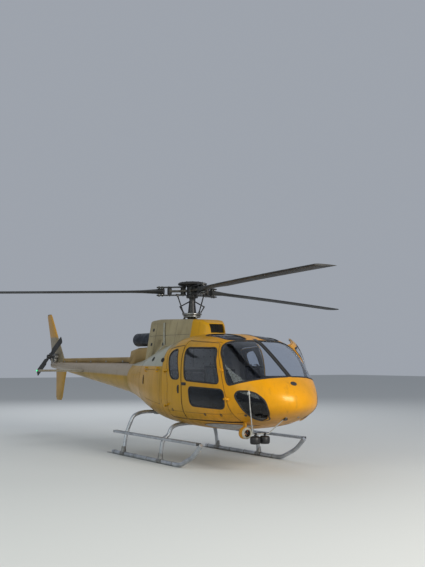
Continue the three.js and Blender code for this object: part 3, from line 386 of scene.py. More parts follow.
greenLight = glowMaterial("greenLight", (0.05, 0.75, 0.25), 2.0)
redLight = glowMaterial("redLight", (0.8, 0.04, 0.03), 0.8)
clearLight = glowMaterial("clearLight", (0.8, 0.82, 0.84), 0.3)
seatCloth = clothMaterial("seatCloth", (0.085, 0.09, 0.105), (0.035, 0.037, 0.045))
mirrorGlass = polishedMaterial("mirrorGlass")
print("materials made")


# Forms of the body and the boom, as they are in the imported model, and the same forms smoothed
# Sections: y, half width, lowest z, z of the widest place, highest z, and the two powers of the curve
bodyStations = [
    (-3.305, 0.001, 1.134, 1.135, 1.136, 2.0, 2.0),
    (-3.296, 0.106, 1.072, 1.135, 1.204, 2.0, 2.0),
    (-3.268, 0.212, 1.025, 1.135, 1.276, 2.0, 2.0),
    (-3.212, 0.338, 0.978, 1.135, 1.358, 2.1, 2.1),
    (-3.118, 0.474, 0.922, 1.137, 1.46, 2.2, 2.15),
    (-2.99, 0.602, 0.864, 1.142, 1.566, 2.4, 2.25),
    (-2.75, 0.76, 0.786, 1.162, 1.745, 2.8, 2.4),
    (-2.5, 0.857, 0.724, 1.185, 1.925, 3.3, 2.6),
    (-2.2, 0.913, 0.67, 1.21, 2.115, 4.0, 2.8),
    (-1.9, 0.932, 0.635, 1.225, 2.22, 4.2, 2.9),
    (-1.5, 0.935, 0.618, 1.23, 2.28, 4.0, 3.0),
    (-1.0, 0.93, 0.62, 1.235, 2.288, 3.8, 3.0),
    (-0.5, 0.912, 0.632, 1.245, 2.232, 3.5, 2.9),
    (0.0, 0.865, 0.662, 1.265, 2.145, 3.1, 2.7),
    (0.5, 0.76, 0.73, 1.3, 2.06, 2.8, 2.5),
    (1.0, 0.625, 0.822, 1.345, 1.96, 2.5, 2.3),
    (1.5, 0.48, 0.93, 1.395, 1.86, 2.2, 2.1),
    (2.05, 0.345, 1.062, 1.43, 1.78, 2.0, 2.0),
]
boomStations = [
    (2.05, 0.345, 1.062, 1.43, 1.78, 2.0, 2.0),
    (2.35, 0.318, 1.118, 1.452, 1.772, 2.0, 2.0),
    (6.3, 0.128, 1.56, 1.69, 1.775, 2.0, 2.0),
    (6.95, 0.1, 1.61, 1.7, 1.77, 2.0, 2.0),
]
fineSides = 112
finePerStation = 7
fadeStart, fadeEnd = 0.06, 0.14  # depth below the skin over which the smoothing fades away


def ovalRing(row, count):
    y, halfWidth, zBottom, zWidest, zTop, nTop, nBottom = row
    angles = 2 * np.pi * np.arange(count) / count
    c, s = np.cos(angles), np.sin(angles)
    power = np.where(s >= -1e-12, 2 / nTop, 2 / nBottom)
    height = np.where(s >= -1e-12, zTop - zWidest, zWidest - zBottom)
    x = halfWidth * np.sign(c) * np.abs(c) ** power
    z = zWidest + height * np.sign(s) * np.abs(s) ** power
    return np.stack([x, np.full(count, y), z], 1)


def smoothRows(table, spans, steps):
    # A smooth curve through all the rows of a table, with knots as far apart as the roots of the spans
    knots = np.concatenate([[0], np.cumsum(spans ** 0.5)])
    slopes = np.gradient(table, knots, axis=0)
    made = []
    for i, width in enumerate(np.diff(knots)):
        for share in np.arange(steps) / steps:
            a, b = 2 * share ** 3 - 3 * share ** 2 + 1, -2 * share ** 3 + 3 * share ** 2
            c, d = (share ** 3 - 2 * share ** 2 + share) * width, (share ** 3 - share ** 2) * width
            made.append(a * table[i] + b * table[i + 1] + c * slopes[i] + d * slopes[i + 1])
    return made + [table[-1]]


def smoothStations(rows):
    # More sections between those of the body, spaced by how far apart their places, half widths and tops lie
    table = np.array(rows)
    spans = np.linalg.norm(np.diff(table[:, [0, 1, 4]], axis=0), axis=1)
    return smoothRows(table, spans, finePerStation)


class Form:
    # A lofted surface that answers where its skin is and which way it faces
    def __init__(self, rows, count):
        rings = [ovalRing(row, count) for row in rows]
        points = np.concatenate(rings)
        faces = []
        for i in range(len(rings) - 1):
            for j in range(count):
                a, b = i * count + j, i * count + (j + 1) % count
                c, d = a + count, b + count
                faces += [(a, c, d), (a, d, b)]
        self.points = [Vector(p) for p in points]
        corners = points[np.array(faces)]
        normals = np.cross(corners[:, 1] - corners[:, 0], corners[:, 2] - corners[:, 0])
        middle = points.mean(0)
        if np.sum(normals * (corners.mean(1) - middle), 1).sum() <= 0:
            faces = [(a, c, b) for a, b, c in faces]
            normals = -normals
        vertexNormals = np.zeros_like(points)
        for k in range(3):
            np.add.at(vertexNormals, np.array(faces)[:, k], normals)
        vertexNormals /= np.maximum(np.linalg.norm(vertexNormals, axis=1), 1e-12)[:, None]
        self.normals = [Vector(n) for n in vertexNormals]
        self.faces = faces
        self.tree = BVHTree.FromPolygons(self.points, faces)

    def nearest(self, place):
        spot, flat, index, _ = self.tree.find_nearest(place)
        return spot, self.normalAt(spot, index), flat

    def normalAt(self, spot, index):
        corners = self.faces[index]
        weights = poly_3d_calc([self.points[k] for k in corners], spot)
        total = Vector()
        for weight, k in zip(weights, corners):
            total += weight * self.normals[k]
        return total.normalized()

    def hit(self, start, direction):
        spot, _, index, _ = self.tree.ray_cast(Vector(start), Vector(direction))
        if spot is None:
            return None, None
        return spot, self.normalAt(spot, index)


bodyRough = Form(bodyStations, 28)
bodyFine = Form(smoothStations(bodyStations), fineSides)
boomRough = Form(boomStations, 24)
boomFine = Form(boomStations, 96)
print("forms made")

# Tools for pieces
def deselectAll():
    bpy.ops.object.select_all(action="DESELECT")


def choose(piece):
    deselectAll()
    piece.select_set(True)
    bpy.context.view_layer.objects.active = piece


def meshPiece(name, points, faces, edges=()):
    data = bpy.data.meshes.new(name)
    data.from_pydata([tuple(p) for p in points], list(edges), faces)
    data.update()
    made = bpy.data.objects.new(name, data)
    bpy.context.scene.collection.objects.link(made)
    return made


def smoothShade(piece, degrees=35):
    choose(piece)
    bpy.ops.object.shade_smooth_by_angle(angle=math.radians(degrees))
    return piece


def modify(piece, kind, **settings):
    choose(piece)
    made = piece.modifiers.new(kind.title(), kind)
    for key, value in settings.items():
        setattr(made, key, value)
    bpy.ops.object.modifier_apply(modifier=made.name)
    return piece


def bevelEdges(piece, width, segments=3, degrees=40):
    limits = {"limit_method": "ANGLE", "angle_limit": math.radians(degrees), "harden_normals": False}
    modify(piece, "BEVEL", width=width, segments=segments, **limits)
    return smoothShade(piece)


def boxPiece(name, centre, size, bevel=0.004, segments=3, turn=(0, 0, 0)):
    # A cube set at its size and place, its edges rounded
    deselectAll()
    bpy.ops.mesh.primitive_cube_add(size=1, location=centre, rotation=[math.radians(t) for t in turn])
    piece = bpy.context.object
    piece.name = name
    piece.scale = size
    bpy.ops.object.transform_apply(location=False, rotation=False, scale=True)
    return bevelEdges(piece, bevel, segments)


def mergeInEditMode():
    # Points at one place become one, and all faces look outwards
    bpy.ops.mesh.select_all(action="SELECT")
    bpy.ops.mesh.remove_doubles(threshold=1e-5)
    bpy.ops.mesh.normals_make_consistent(inside=False)
    bpy.ops.object.mode_set(mode="OBJECT")


def turnedPiece(name, profile, centre=(0, 0, 0), axis=(0, 0, 1), steps=48, degrees=35):
    # A line of [radius, height] points spun about its axis
    points = [(radius, 0, height) for radius, height in profile]
    closed = profile[0] == profile[-1]
    if closed:
        points = points[:-1]
    edges = [(i, i + 1) for i in range(len(points) - 1)] + ([(len(points) - 1, 0)] if closed else [])
    piece = meshPiece(name, points, [], edges)
    choose(piece)
    bpy.ops.object.mode_set(mode="EDIT")
    bpy.ops.mesh.select_all(action="SELECT")
    bpy.ops.mesh.spin(steps=steps, angle=2 * math.pi, center=(0, 0, 0), axis=(0, 0, 1))
    mergeInEditMode()
    turn = Vector(axis).to_track_quat("Z", "Y").to_matrix().to_4x4()
    piece.data.transform(Matrix.Translation(Vector(centre)) @ turn)
    return smoothShade(piece, degrees)


def curveThrough(points, steps=6):
    # A smooth line through all the points
    table = np.array(points, float)
    spans = np.maximum(np.linalg.norm(np.diff(table, axis=0), axis=1), 1e-6)
    return [Vector(p) for p in smoothRows(table, spans, steps)]


def tubePiece(name, points, radius, sides=5, closed=False):
    # A line with a round bevel, made a mesh; sides is half the number of facets round the tube
    curve = bpy.data.curves.new(name, "CURVE")
    curve.dimensions = "3D"
    line = curve.splines.new("POLY")
    line.points.add(len(points) - 1)
    for spot, place in zip(line.points, points):
        spot.co = (*place, 1)
    line.use_cyclic_u = closed
    curve.bevel_depth = radius
    curve.bevel_resolution = sides - 2
    curve.use_fill_caps = not closed
    piece = bpy.data.objects.new(name, curve)
    bpy.context.scene.collection.objects.link(piece)
    choose(piece)
    bpy.ops.object.convert(target="MESH")
    piece = bpy.context.object
    piece.name = name
    choose(piece)
    bpy.ops.object.mode_set(mode="EDIT")
    mergeInEditMode()
    return smoothShade(piece, 50)


def loftPiece(name, rings, degrees=35, closedEnds=True):
    count = len(rings[0])
    faces = []
    for i in range(len(rings) - 1):
        for j in range(count):
            a, b = i * count + j, i * count + (j + 1) % count
            faces.append((a, b, b + count, a + count))
    if closedEnds:
        faces += [tuple(reversed(range(count))), tuple(range((len(rings) - 1) * count, len(rings) * count))]
    piece = meshPiece(name, [p for ring in rings for p in ring], faces)
    faceOut(piece)
    return smoothShade(piece, degrees)


def faceOut(piece):
    bm = bmesh.new()
    bm.from_mesh(piece.data)
    bmesh.ops.remove_doubles(bm, verts=bm.verts, dist=1e-5)
    bmesh.ops.recalc_face_normals(bm, faces=bm.faces)
    bm.to_mesh(piece.data)
    bm.free()


def bandPiece(name, route, ups, section, closed=False):
    # A section of (across, up) points carried along a route that lies on a surface with the given normals
    count = len(route)
    rings = []
    for i, spot in enumerate(route):
        if closed:
            ahead, back = route[(i + 1) % count], route[i - 1]
        else:
            ahead, back = route[min(i + 1, count - 1)], route[max(i - 1, 0)]
        up = ups[i]
        across = (ahead - back).cross(up).normalized()
        rings.append([spot + across * u + up * v for u, v in section])
    if closed:
        rings.append(rings[0])
    return loftPiece(name, rings, 50, not closed)


def joinPieces(name, pieces):
    choose(pieces[0])
    for piece in pieces:
        piece.select_set(True)
    if len(pieces) > 1:
        bpy.ops.object.join()
    pieces[0].name = name
    pieces[0].data.name = name
    return pieces[0]


def copyPiece(piece, move=Matrix.Identity(4)):
    twin = piece.copy()
    twin.data = piece.data.copy()
    bpy.context.scene.collection.objects.link(twin)
    twin.data.transform(move @ piece.matrix_world)
    twin.matrix_world = Matrix.Identity(4)
    return twin


def moved(piece, move):
    piece.data.transform(move @ piece.matrix_world)
    piece.matrix_world = Matrix.Identity(4)
    return piece


def copiesAt(piece, moves):
    # A copy for each move; the piece itself goes
    made = [copyPiece(piece, move) for move in moves]
    bpy.data.objects.remove(piece)
    return made


def around(piece, count, first=0.0):
    # Copies turned evenly about the mast
    return copiesAt(piece, [Matrix.Rotation(math.radians(first + 360 * i / count), 4, "Z") for i in range(count)])


def at(place, degrees=0.0, axis="X"):
    # A turn about an axis through the origin, and then a move to a place
    return Matrix.Translation(place) @ Matrix.Rotation(math.radians(degrees), 4, axis)


def spoke(degrees, reach=1.0, z=0.0):
    # The point at a distance from the mast, in a direction and at a height
    turn = math.radians(degrees)
    return Vector((math.cos(turn), math.sin(turn), 0)) * reach + Vector((0, 0, z))


def sleeve(inner, outer, half):
    # The closed section of a plain ring
    return [(inner, -half), (outer, -half), (outer, half), (inner, half), (inner, -half)]


def stand(place, normal, along=(0, 0, 1)):
    # A frame at a place with Z along the normal and Y close to a direction
    z = Vector(normal).normalized()
    x = Vector(along).cross(z).normalized()
    y = z.cross(x)
    return Matrix.Translation(Vector(place)) @ Matrix((x, y, z)).transposed().to_4x4()


def portDoorTurn():
    # How the port front door lies at rest, open, against its closed place
    hinge = joints["front_door_port_hinge"]
    point = Vector(hinge["pos_m"]) - mast
    opened = math.radians(-hinge["range_deg"][0])
    return Matrix.Translation(point) @ Matrix.Rotation(opened, 4, Vector(hinge["axis"])) @ Matrix.Translation(-point)


def fitOne(piece, slotName, finish, body="airframe", node=None, settled=False):
    # The place goes into the mesh, and the object stays at the origin. A finish is a material or a plain one's name
    if not settled:
        turn = portDoorTurn() if body == "front_door_port" else Matrix.Identity(4)
        moved(piece, Matrix.Translation(mast) @ turn)
    piece.data.materials.clear()
    piece.data.materials.append(plain.get(finish, finish))
    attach(piece, body)
    if node:
        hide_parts(node)


def fitTwin(piece, slotName, finish, body="airframe", node=None):
    # A starboard piece and its mirror image to port; body and node are given without the side where they have one
    base = piece.name
    twin = copyPiece(piece, Matrix.Scale(-1, 4, (1, 0, 0)))
    twin.data.flip_normals()
    for made, side in ((piece, "starboard"), (twin, "port")):
        made.name = f"{base}_{side}"
        owner = body if body in frame["bodies"] else f"{body}_{side}"
        fitOne(made, slotName, finish, owner, f"{node}_{side}" if node else None)


def fitSet(name, pieces, *settings, **others):
    fitOne(joinPieces(name, pieces), *settings, **others)


def fitPair(name, pieces, *settings, **others):
    fitTwin(joinPieces(name, pieces), *settings, **others)


def onSkin(y, z):
    # The place and normal of the starboard skin at a height and a place along the body
    return bodyFine.hit((0, y, z), (-1, 0, 0))


def laidOnSkin(points):
    # A route on the starboard skin with its normals, through points of y and z
    found = [onSkin(y, z) for y, z in points]
    return zip(*[pair for pair in found if pair[0] is not None])


def evenly(points, spacing, closed=False):
    # The same line with its points evenly spaced
    line = [Vector(p) for p in points] + ([Vector(points[0])] if closed else [])
    lengths = [0.0]
    for a, b in zip(line, line[1:]):
        lengths.append(lengths[-1] + (b - a).length)
    count = max(2, round(lengths[-1] / spacing))
    made = []
    for i in range(count if closed else count + 1):
        want = lengths[-1] * i / count
        k = min(max(np.searchsorted(lengths, want) - 1, 0), len(line) - 2)
        share = (want - lengths[k]) / max(lengths[k + 1] - lengths[k], 1e-9)
        made.append(line[k].lerp(line[k + 1], share))
    return made


def rounded(corners, steps=5):
    # Corners (u, v, r) rounded over the length r of each side
    made = []
    flat = [Vector((u, v)) for u, v, *_ in corners]
    for i, corner in enumerate(flat):
        before, after = flat[i - 1], flat[(i + 1) % len(flat)]
        radius = corners[i][2] if len(corners[i]) > 2 else 0
        room = 0.48 * min((before - corner).length, (after - corner).length)
        radius = min(radius, room)
        if radius <= 0:
            made.append(corner)
            continue
        start = corner + (before - corner).normalized() * radius
        end = corner + (after - corner).normalized() * radius
        for share in np.linspace(0, 1, steps):
            made.append(start * (1 - share) ** 2 + corner * 2 * share * (1 - share) + end * share ** 2)
    return made


def roundedBox(low, high, corner):
    # A rectangle from its low to its high corner, its corners rounded
    (a, b), (c, d) = low, high
    return rounded([(a, b, corner), (c, b, corner), (c, d, corner), (a, d, corner)])


def skinPatch(name, outline, startX, thickness, spacing=0.03, sunk=0.002):
    # A thin plate over the starboard skin: points of y and z are thrown onto it from a plane
    bm = bmesh.new()
    values = [Vector((startX, u, v)) for u, v in outline]
    bm.faces.new([bm.verts.new(p) for p in values])
    for axis in (1, 2):
        places = [p[axis] for p in values]
        for place in np.arange(math.ceil(min(places) / spacing) * spacing, max(places), spacing):
            spot, across = Vector(), Vector()
            spot[axis], across[axis] = place, 1
            geometry = bm.verts[:] + bm.edges[:] + bm.faces[:]
            bmesh.ops.bisect_plane(bm, geom=geometry, dist=1e-6, plane_co=spot, plane_no=across)
    for vert in bm.verts:
        spot, normal = bodyFine.hit(vert.co, (-1, 0, 0))
        if spot is None:
            spot, normal, _ = bodyFine.nearest(vert.co)
        vert.co = spot + normal * thickness
    data = bpy.data.meshes.new(name)
    bm.to_mesh(data)
    bm.free()
    piece = bpy.data.objects.new(name, data)
    bpy.context.scene.collection.objects.link(piece)
    middle = sum((v.co for v in data.vertices), Vector()) / len(data.vertices)
    _, normal, _ = bodyFine.nearest(middle)
    if sum((p.normal * p.area for p in data.polygons), Vector()).dot(normal) < 0:
        data.flip_normals()
    modify(piece, "SOLIDIFY", thickness=thickness + sunk, offset=-1)
    return smoothShade(piece, 40)


def dots(name, places, radius, height, sides=8):
    # Small domes, such as rivets and screws, at places with normals, all in one mesh
    points, faces = [], []
    for spot, normal in places:
        turn = stand(spot, normal, (0, 0.3, 1))
        first = len(points)
        for ring, (r, h) in enumerate(((1, -0.6), (1, 0.25), (0.62, 0.8))):
            for k in range(sides):
                angle = 2 * math.pi * k / sides
                points.append(turn @ Vector((radius * r * math.cos(angle), radius * r * math.sin(angle), height * h)))
            if ring:
                for k in range(sides):
                    a, b = first + (ring - 1) * sides + k, first + (ring - 1) * sides + (k + 1) % sides
                    faces.append((a, b, b + sides, a + sides))
        faces.append(tuple(range(first + 2 * sides, first + 3 * sides)))
        faces.append(tuple(reversed(range(first, first + sides))))
    return smoothShade(meshPiece(name, points, faces), 60)


# Smooth skins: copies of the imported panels, cut finely and laid on the smooth form
alongSkinCosine = 0.94
skinDepth = 0.012  # faces deeper than this below the skin are lined


def smoothSkin(node, rough, fine, spacing, turn=Matrix.Identity(4)):
    source = frame["nodes"][node]
    piece = source.copy()
    piece.data = source.data.copy()
    for key in list(piece.keys()):
        del piece[key]
    piece.name = node + "_skin"
    piece.parent = None
    bpy.context.scene.collection.objects.link(piece)
    toClosed = turn.inverted() @ Matrix.Translation(-mast)
    bm = bmesh.new()
    bm.from_mesh(piece.data)
    bm.transform(toClosed)
    bmesh.ops.remove_doubles(bm, verts=bm.verts, dist=2e-5)
    for axis in range(3):
        values = [v.co[axis] for v in bm.verts]
        first = math.ceil(min(values) / spacing[axis]) * spacing[axis]
        for place in np.arange(first, max(values), spacing[axis]):
            spot, direction = Vector(), Vector()
            spot[axis], direction[axis] = place, 1
            geometry = bm.verts[:] + bm.edges[:] + bm.faces[:]
            bmesh.ops.bisect_plane(bm, geom=geometry, dist=1e-6, plane_co=spot, plane_no=direction)
    bm.faces.ensure_lookup_table()
    alongSkin, inside = [], []
    for face in bm.faces:
        middle = face.calc_center_median()
        spot, _, flat = rough.nearest(middle)
        cosine, depth = face.normal.dot(flat), (middle - spot).length
        sense = 0 if abs(cosine) < alongSkinCosine or depth > fadeStart else math.copysign(1, cosine)
        alongSkin.append(sense)
        inside.append(1.0 if depth > skinDepth and (middle - spot).dot(flat) < 0 else 0.0)
    for vert in bm.verts:
        spot, _, _ = rough.nearest(vert.co)
        depth = (vert.co - spot).length
        share = min(max((fadeEnd - depth) / (fadeEnd - fadeStart), 0), 1)
        if share > 0:
            target, _, _ = fine.nearest(spot)
            vert.co += (target - spot) * share
    bm.to_mesh(piece.data)
    bm.free()
    smoothShade(piece)
    data = piece.data
    normals = [Vector(corner.vector) for corner in data.corner_normals]
    for polygon, sense in zip(data.polygons, alongSkin):
        if sense:
            for loop in polygon.loop_indices:
                _, normal, _ = fine.nearest(data.vertices[data.loops[loop].vertex_index].co)
                normals[loop] = normal * sense
    data.normals_split_custom_set(normals)
    data.attributes.new("inner", "FLOAT", "FACE").data.foreach_set("value", inside)
    outline = outerLoops(data, alongSkin) if node in sealed else []
    data.transform(Matrix.Translation(mast) @ turn)
    piece.matrix_world = Matrix.Identity(4)
    return piece, outline


def outerLoops(data, alongSkin):
    # The edge lines of the outer face of a pane, in order
    counts = {}
    for polygon, sense in zip(data.polygons, alongSkin):
        if sense > 0:
            for key in polygon.edge_keys:
                counts[key] = counts.get(key, 0) + 1
    neighbours = {}
    for (a, b), count in counts.items():
        if count == 1:
            neighbours.setdefault(a, []).append(b)
            neighbours.setdefault(b, []).append(a)
    loops, left = [], set(neighbours)
    while left:
        start = min(left)
        line, at, last = [start], neighbours[start][0], start
        while at != start and at in left:
            line.append(at)
            ahead = [k for k in neighbours[at] if k != last]
            last, at = at, ahead[0] if ahead else start
        left -= set(line)
        if len(line) > 8:
            loops.append([data.vertices[k].co.copy() for k in line])
    return loops


# Rubber seals round the panes: body, width over the frame and over the glass, height above the skin
sealed = {}
for side in sides:
    sealed["windscreen_" + side] = ("airframe", 0.013, 0.022, 0.004)
    sealed["roof_window_" + side] = ("airframe", 0.012, 0.014, 0.003)
    sealed["chin_window_" + side] = ("airframe", 0.012, 0.016, 0.003)
    sealed["front_door_glass_" + side] = ("front_door_" + side, 0.012, 0.016, 0.003)
    sealed["front_door_lower_glass_" + side] = ("front_door_" + side, 0.012, 0.014, 0.003)
    sealed["rear_door_glass_" + side] = ("rear_door_" + side, 0.012, 0.016, 0.003)


def sealPiece(node, loops):
    body, overFrame, overGlass, height = sealed[node]
    made = []
    for loop in loops:
        route = evenly(loop, 0.018, closed=True)
        for _ in range(3):
            route = [route[i - 1] * 0.25 + p * 0.5 + route[(i + 1) % len(route)] * 0.25 for i, p in enumerate(route)]
        ups, spots = [], []
        for spot in route:
            place, normal, _ = bodyFine.nearest(spot)
            spots.append(place)
            ups.append(normal)
        middle = sum(spots, Vector()) / len(spots)
        across = (spots[1] - spots[-1]).cross(ups[0])
        outward = 1 if across.dot(spots[0] - middle) > 0 else -1
        glass = -0.0075
        section = [
            (overFrame, 0.0), (overFrame * 0.8, height * 0.7), (overFrame * 0.3, height), (-overGlass * 0.35, height),
            (-overGlass * 0.8, height * 0.3), (-overGlass, glass), (-overGlass * 0.3, glass - 0.002),
            (overFrame, -0.004),
        ]
        made.append(bandPiece(node + "_seal", spots, ups, [(outward * u, v) for u, v in section], closed=True))
    piece = joinPieces(node + "_seal", made)
    fitOne(piece, "dark_plastic", "rubberBlack", body)


skinNodes = [
    # node, body, slot, material, spacing along X, Y and Z
    ("hull_and_nose", "airframe", "yellow_paint", yellowSkin, (0.08, 0.07, 0.08)),
    ("cabin_roof", "airframe", "yellow_paint", roofSkin, (0.08, 0.09, 0.09)),
    ("rear_fuselage", "airframe", "yellow_paint", rearSkin, (0.08, 0.12, 0.08)),
]
for side in sides:
    skinNodes += [
        ("windscreen_" + side, "airframe", "tinted_glass", clearGlass, (0.07, 0.07, 0.07)),
        ("roof_window_" + side, "airframe", "tinted_glass", roofGlass, (0.09, 0.12, 0.2)),
        ("chin_window_" + side, "airframe", "tinted_glass", darkGlass, (0.06, 0.06, 0.06)),
        ("front_door_" + side, "front_door_" + side, "yellow_paint", yellowSkin, (0.2, 0.12, 0.08)),
        ("front_door_glass_" + side, "front_door_" + side, "tinted_glass", sideGlass, (0.2, 0.15, 0.08)),
        ("front_door_lower_glass_" + side, "front_door_" + side, "tinted_glass", darkGlass, (0.2, 0.15, 0.06)),
        ("rear_door_" + side, "rear_door_" + side, "yellow_paint", yellowSkin, (0.2, 0.15, 0.08)),
        ("rear_door_glass_" + side, "rear_door_" + side, "tinted_glass", sideGlass, (0.2, 0.15, 0.08)),
        ("baggage_door_" + side, "baggage_door_" + side, "yellow_paint", mustardSkin, (0.2, 0.15, 0.08)),
    ]
for node, body, slotName, material, spacing in skinNodes:
    turn = portDoorTurn() if body == "front_door_port" else Matrix.Identity(4)
    piece, loops = smoothSkin(node, bodyRough, bodyFine, spacing, turn)
    fitOne(piece, slotName, material, body, node, settled=True)
    if node in sealed:
        sealPiece(node, loops)
boom, _ = smoothSkin("tail_boom", boomRough, boomFine, (0.03, 2.0, 0.03))
fitOne(boom, "yellow_paint", boomSkin, node="tail_boom", settled=True)
print("smooth skins and seals laid")


# Helpers for plates, wings and copied nodes
def platePiece(name, outline, low, high, bevel=0.003, segments=2):
    # A flat outline in plan, pulled up to a plate in edit mode
    piece = meshPiece(name, [(u, v, low) for u, v in outline], [tuple(range(len(outline)))])
    choose(piece)
    bpy.ops.object.mode_set(mode="EDIT")
    bpy.ops.mesh.select_all(action="SELECT")
    bpy.ops.mesh.extrude_region_move(TRANSFORM_OT_translate={"value": (0, 0, high - low)})
    bpy.ops.mesh.select_all(action="SELECT")
    bpy.ops.mesh.normals_make_consistent(inside=False)
    bpy.ops.object.mode_set(mode="OBJECT")
    return bevelEdges(piece, bevel, segments)


def boltPiece(name, radius, height, washer=1.5):
    # A six-sided head with a round washer under it, standing at the origin
    profile = [(0, 0), (radius, 0), (radius, height * 0.85), (radius * 0.85, height), (0, height)]
    rim = [(0, -height * 0.2), (radius * washer, -height * 0.2), (radius * washer, 0), (0, 0)]
    return joinPieces(name, [turnedPiece(name, profile, steps=6), turnedPiece(name + "Washer", rim, steps=16)])


def foilPoints(count=15):
    # An aerofoil outline as (part of chord, part of half thickness), from the tail over the top and back below
    shares = [(1 - math.cos(math.pi * i / count)) / 2 for i in range(count + 1)]
    half = [10 * (0.2969 * x ** 0.5 - 0.126 * x - 0.3516 * x ** 2 + 0.2843 * x ** 3 - 0.1015 * x ** 4) for x in shares]
    top = [(x, max(t, 0.06 * x)) for x, t in zip(shares, half)]
    return [(x, t) for x, t in reversed(top)] + [(x, -t) for x, t in top[1:]]


def between(rows, steps):
    # Straight steps between table rows
    made = []
    for a, b in zip(rows, rows[1:]):
        made += [[p + (q - p) * i / steps for p, q in zip(a, b)] for i in range(steps)]
    return made + [list(rows[-1])]


def nodeCopy(node):
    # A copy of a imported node's mesh, from the mast, with its loose triangles merged and its soft edges smoothed
    piece = meshPiece(node + "_smooth", [], [])
    piece.data = frame["nodes"][node].data.copy()
    bm = bmesh.new()
    bm.from_mesh(piece.data)
    bm.transform(Matrix.Translation(-mast))
    bmesh.ops.remove_doubles(bm, verts=bm.verts, dist=2e-5)
    bmesh.ops.dissolve_limit(bm, angle_limit=math.radians(0.5), verts=bm.verts, edges=bm.edges)
    bm.to_mesh(piece.data)
    bm.free()
    return smoothShade(piece, 40)


# Rotor head
head = {
    "first": 17.01, "blades": 3, "low": 3.072, "high": 3.25, "plate": 0.022, "starLow": 3.14, "starHigh": 3.18,
    "capBolts": 12, "mainPins": (0.6, 0.665),
    "smallPins": ((0.19, 0.042), (0.19, -0.042), (0.46, 0.038), (0.46, -0.038)),
    "bearingLayers": 6, "layerStep": 0.022,
}


def makeRotorHead():
    cap = turnedPiece("capDisc", [
        (0, 3.25), (0.16, 3.25), (0.165, 3.258), (0.262, 3.27), (0.276, 3.28), (0.28, 3.292), (0.276, 3.304),
        (0.262, 3.318), (0.2, 3.326), (0.19, 3.333), (0.12, 3.341), (0.06, 3.343), (0, 3.343),
    ], steps=72)
    bolts = around(moved(boltPiece("capBolt", 0.011, 0.01), at((0.225, 0, 3.322))), head["capBolts"])
    core = turnedPiece("headCore", [
        (0, 3.02), (0.105, 3.02), (0.112, 3.026), (0.118, 3.06), (0.118, 3.076), (0.104, 3.086), (0.104, 3.128),
        (0.118, 3.138), (0.118, 3.184), (0.104, 3.194), (0.104, 3.236), (0.118, 3.246), (0.118, 3.262), (0, 3.262),
    ], steps=60)
    fitSet("rotorCap", [cap, *bolts], "black_composite", "hubBlack", "main_rotor", "rotor_hub")
    fitOne(core, "black_composite", "hubBlack", "main_rotor")
    blade, count = head["first"], head["blades"]
    arm = rounded([
        (0.05, -0.075, 0.02), (0.2, -0.062, 0.05), (0.482, -0.036, 0.02), (0.482, 0.036, 0.02), (0.2, 0.062, 0.05),
        (0.05, 0.075, 0.02)
    ])
    star = platePiece("starArm", arm, head["starLow"], head["starHigh"], 0.006)
    fitSet("starPlate", around(star, count, blade), "black_composite", "starGlass", "main_rotor")
    edge = [
        (0.125, -0.055, 0.03), (0.2, -0.078, 0.03), (0.33, -0.06, 0.06), (0.55, -0.06, 0.04), (0.7, -0.062, 0.05),
        (0.715, 0, 0.03), (0.7, 0.062, 0.05), (0.55, 0.06, 0.04), (0.33, 0.06, 0.06), (0.2, 0.078, 0.03),
        (0.125, 0.055, 0.03),
    ]
    low, high, thick = head["low"], head["high"], head["plate"]
    upper = platePiece("upperGrip", rounded(edge), high - thick, high, 0.004)
    lower = platePiece("lowerGrip", rounded(edge), low, low + thick, 0.004)
    small = Matrix.Scale(0.6, 4)
    moves = [at((place, 0, z), flip) for place in head["mainPins"] for z, flip in ((high, 0), (low, 180))]
    moves += [
        at((place, side, z), flip) @ small for place, side in head["smallPins"] for z, flip in ((high, 0), (low, 180))
    ]
    pins = copiesAt(boltPiece("gripBolt", 0.02, 0.014), moves)
    ends = [(0, 0.02), (0.024, 0.02), (0.024, 0.034), (0.018, 0.04)]
    profile = [(radius, low + z) for radius, z in ends] + [(radius, high - z) for radius, z in reversed(ends)]
    pins += [turnedPiece("gripSleeve", profile, (place, 0, 0), steps=20) for place in head["mainPins"]]
    grip = joinPieces("grip", [upper, lower])
    fitSet("gripPlates", around(grip, count, blade), "black_composite", "hubBlack", "main_rotor")
    fitSet("gripBolts", around(joinPieces("pins", pins), count, blade), "bare_steel", "gearSteel", "main_rotor")
    layer = [(0.052, 0.001), (0.056, 0.005), (0.056, 0.011), (0.046, 0.013), (0.046, 0.0205)]
    layers = [(radius, i * head["layerStep"] + z) for i in range(head["bearingLayers"]) for radius, z in layer]
    stack = [(0, 0), *layers, (0.05, 0.1335), (0, 0.1335)]
    bearing = turnedPiece("thrustBearing", stack, (0.178, 0, low + thick), steps=32)
    tip = turnedPiece(
        "starBearing", [(0, 3.094), (0.036, 3.094), (0.044, 3.11), (0.044, 3.212), (0.036, 3.228), (0, 3.228)],
        (0.452, 0, 0), steps=28
    )
    rubber = joinPieces("bearing", [bearing, tip])
    fitSet("bearings", around(rubber, count, blade), "dark_plastic", "rubberBlack", "main_rotor")
    horn = platePiece("pitchHorn", rounded([
        (0.225, 0.05, 0.01), (0.3, 0.05, 0.01), (0.296, 0.13, 0.03), (0.29, 0.172, 0.02), (0.262, 0.178, 0.02),
        (0.25, 0.13, 0.03),
    ]), low, low + 0.024, 0.004)
    fitSet("pitchHorns", around(horn, count, blade), "bare_steel", "hubBlack", "main_rotor")


makeRotorHead()
print("rotor head made")


# Mast and swashplates
controls = {
    "rodTurn": 30, "rodRadius": 0.012, "lowRadial": 0.176, "highRadial": 0.3, "lowZ": 2.722, "highZ": 3.066,
    "linkTurns": (150, 330), "legTurns": (30, 150, 270), "bootFolds": 4,
}


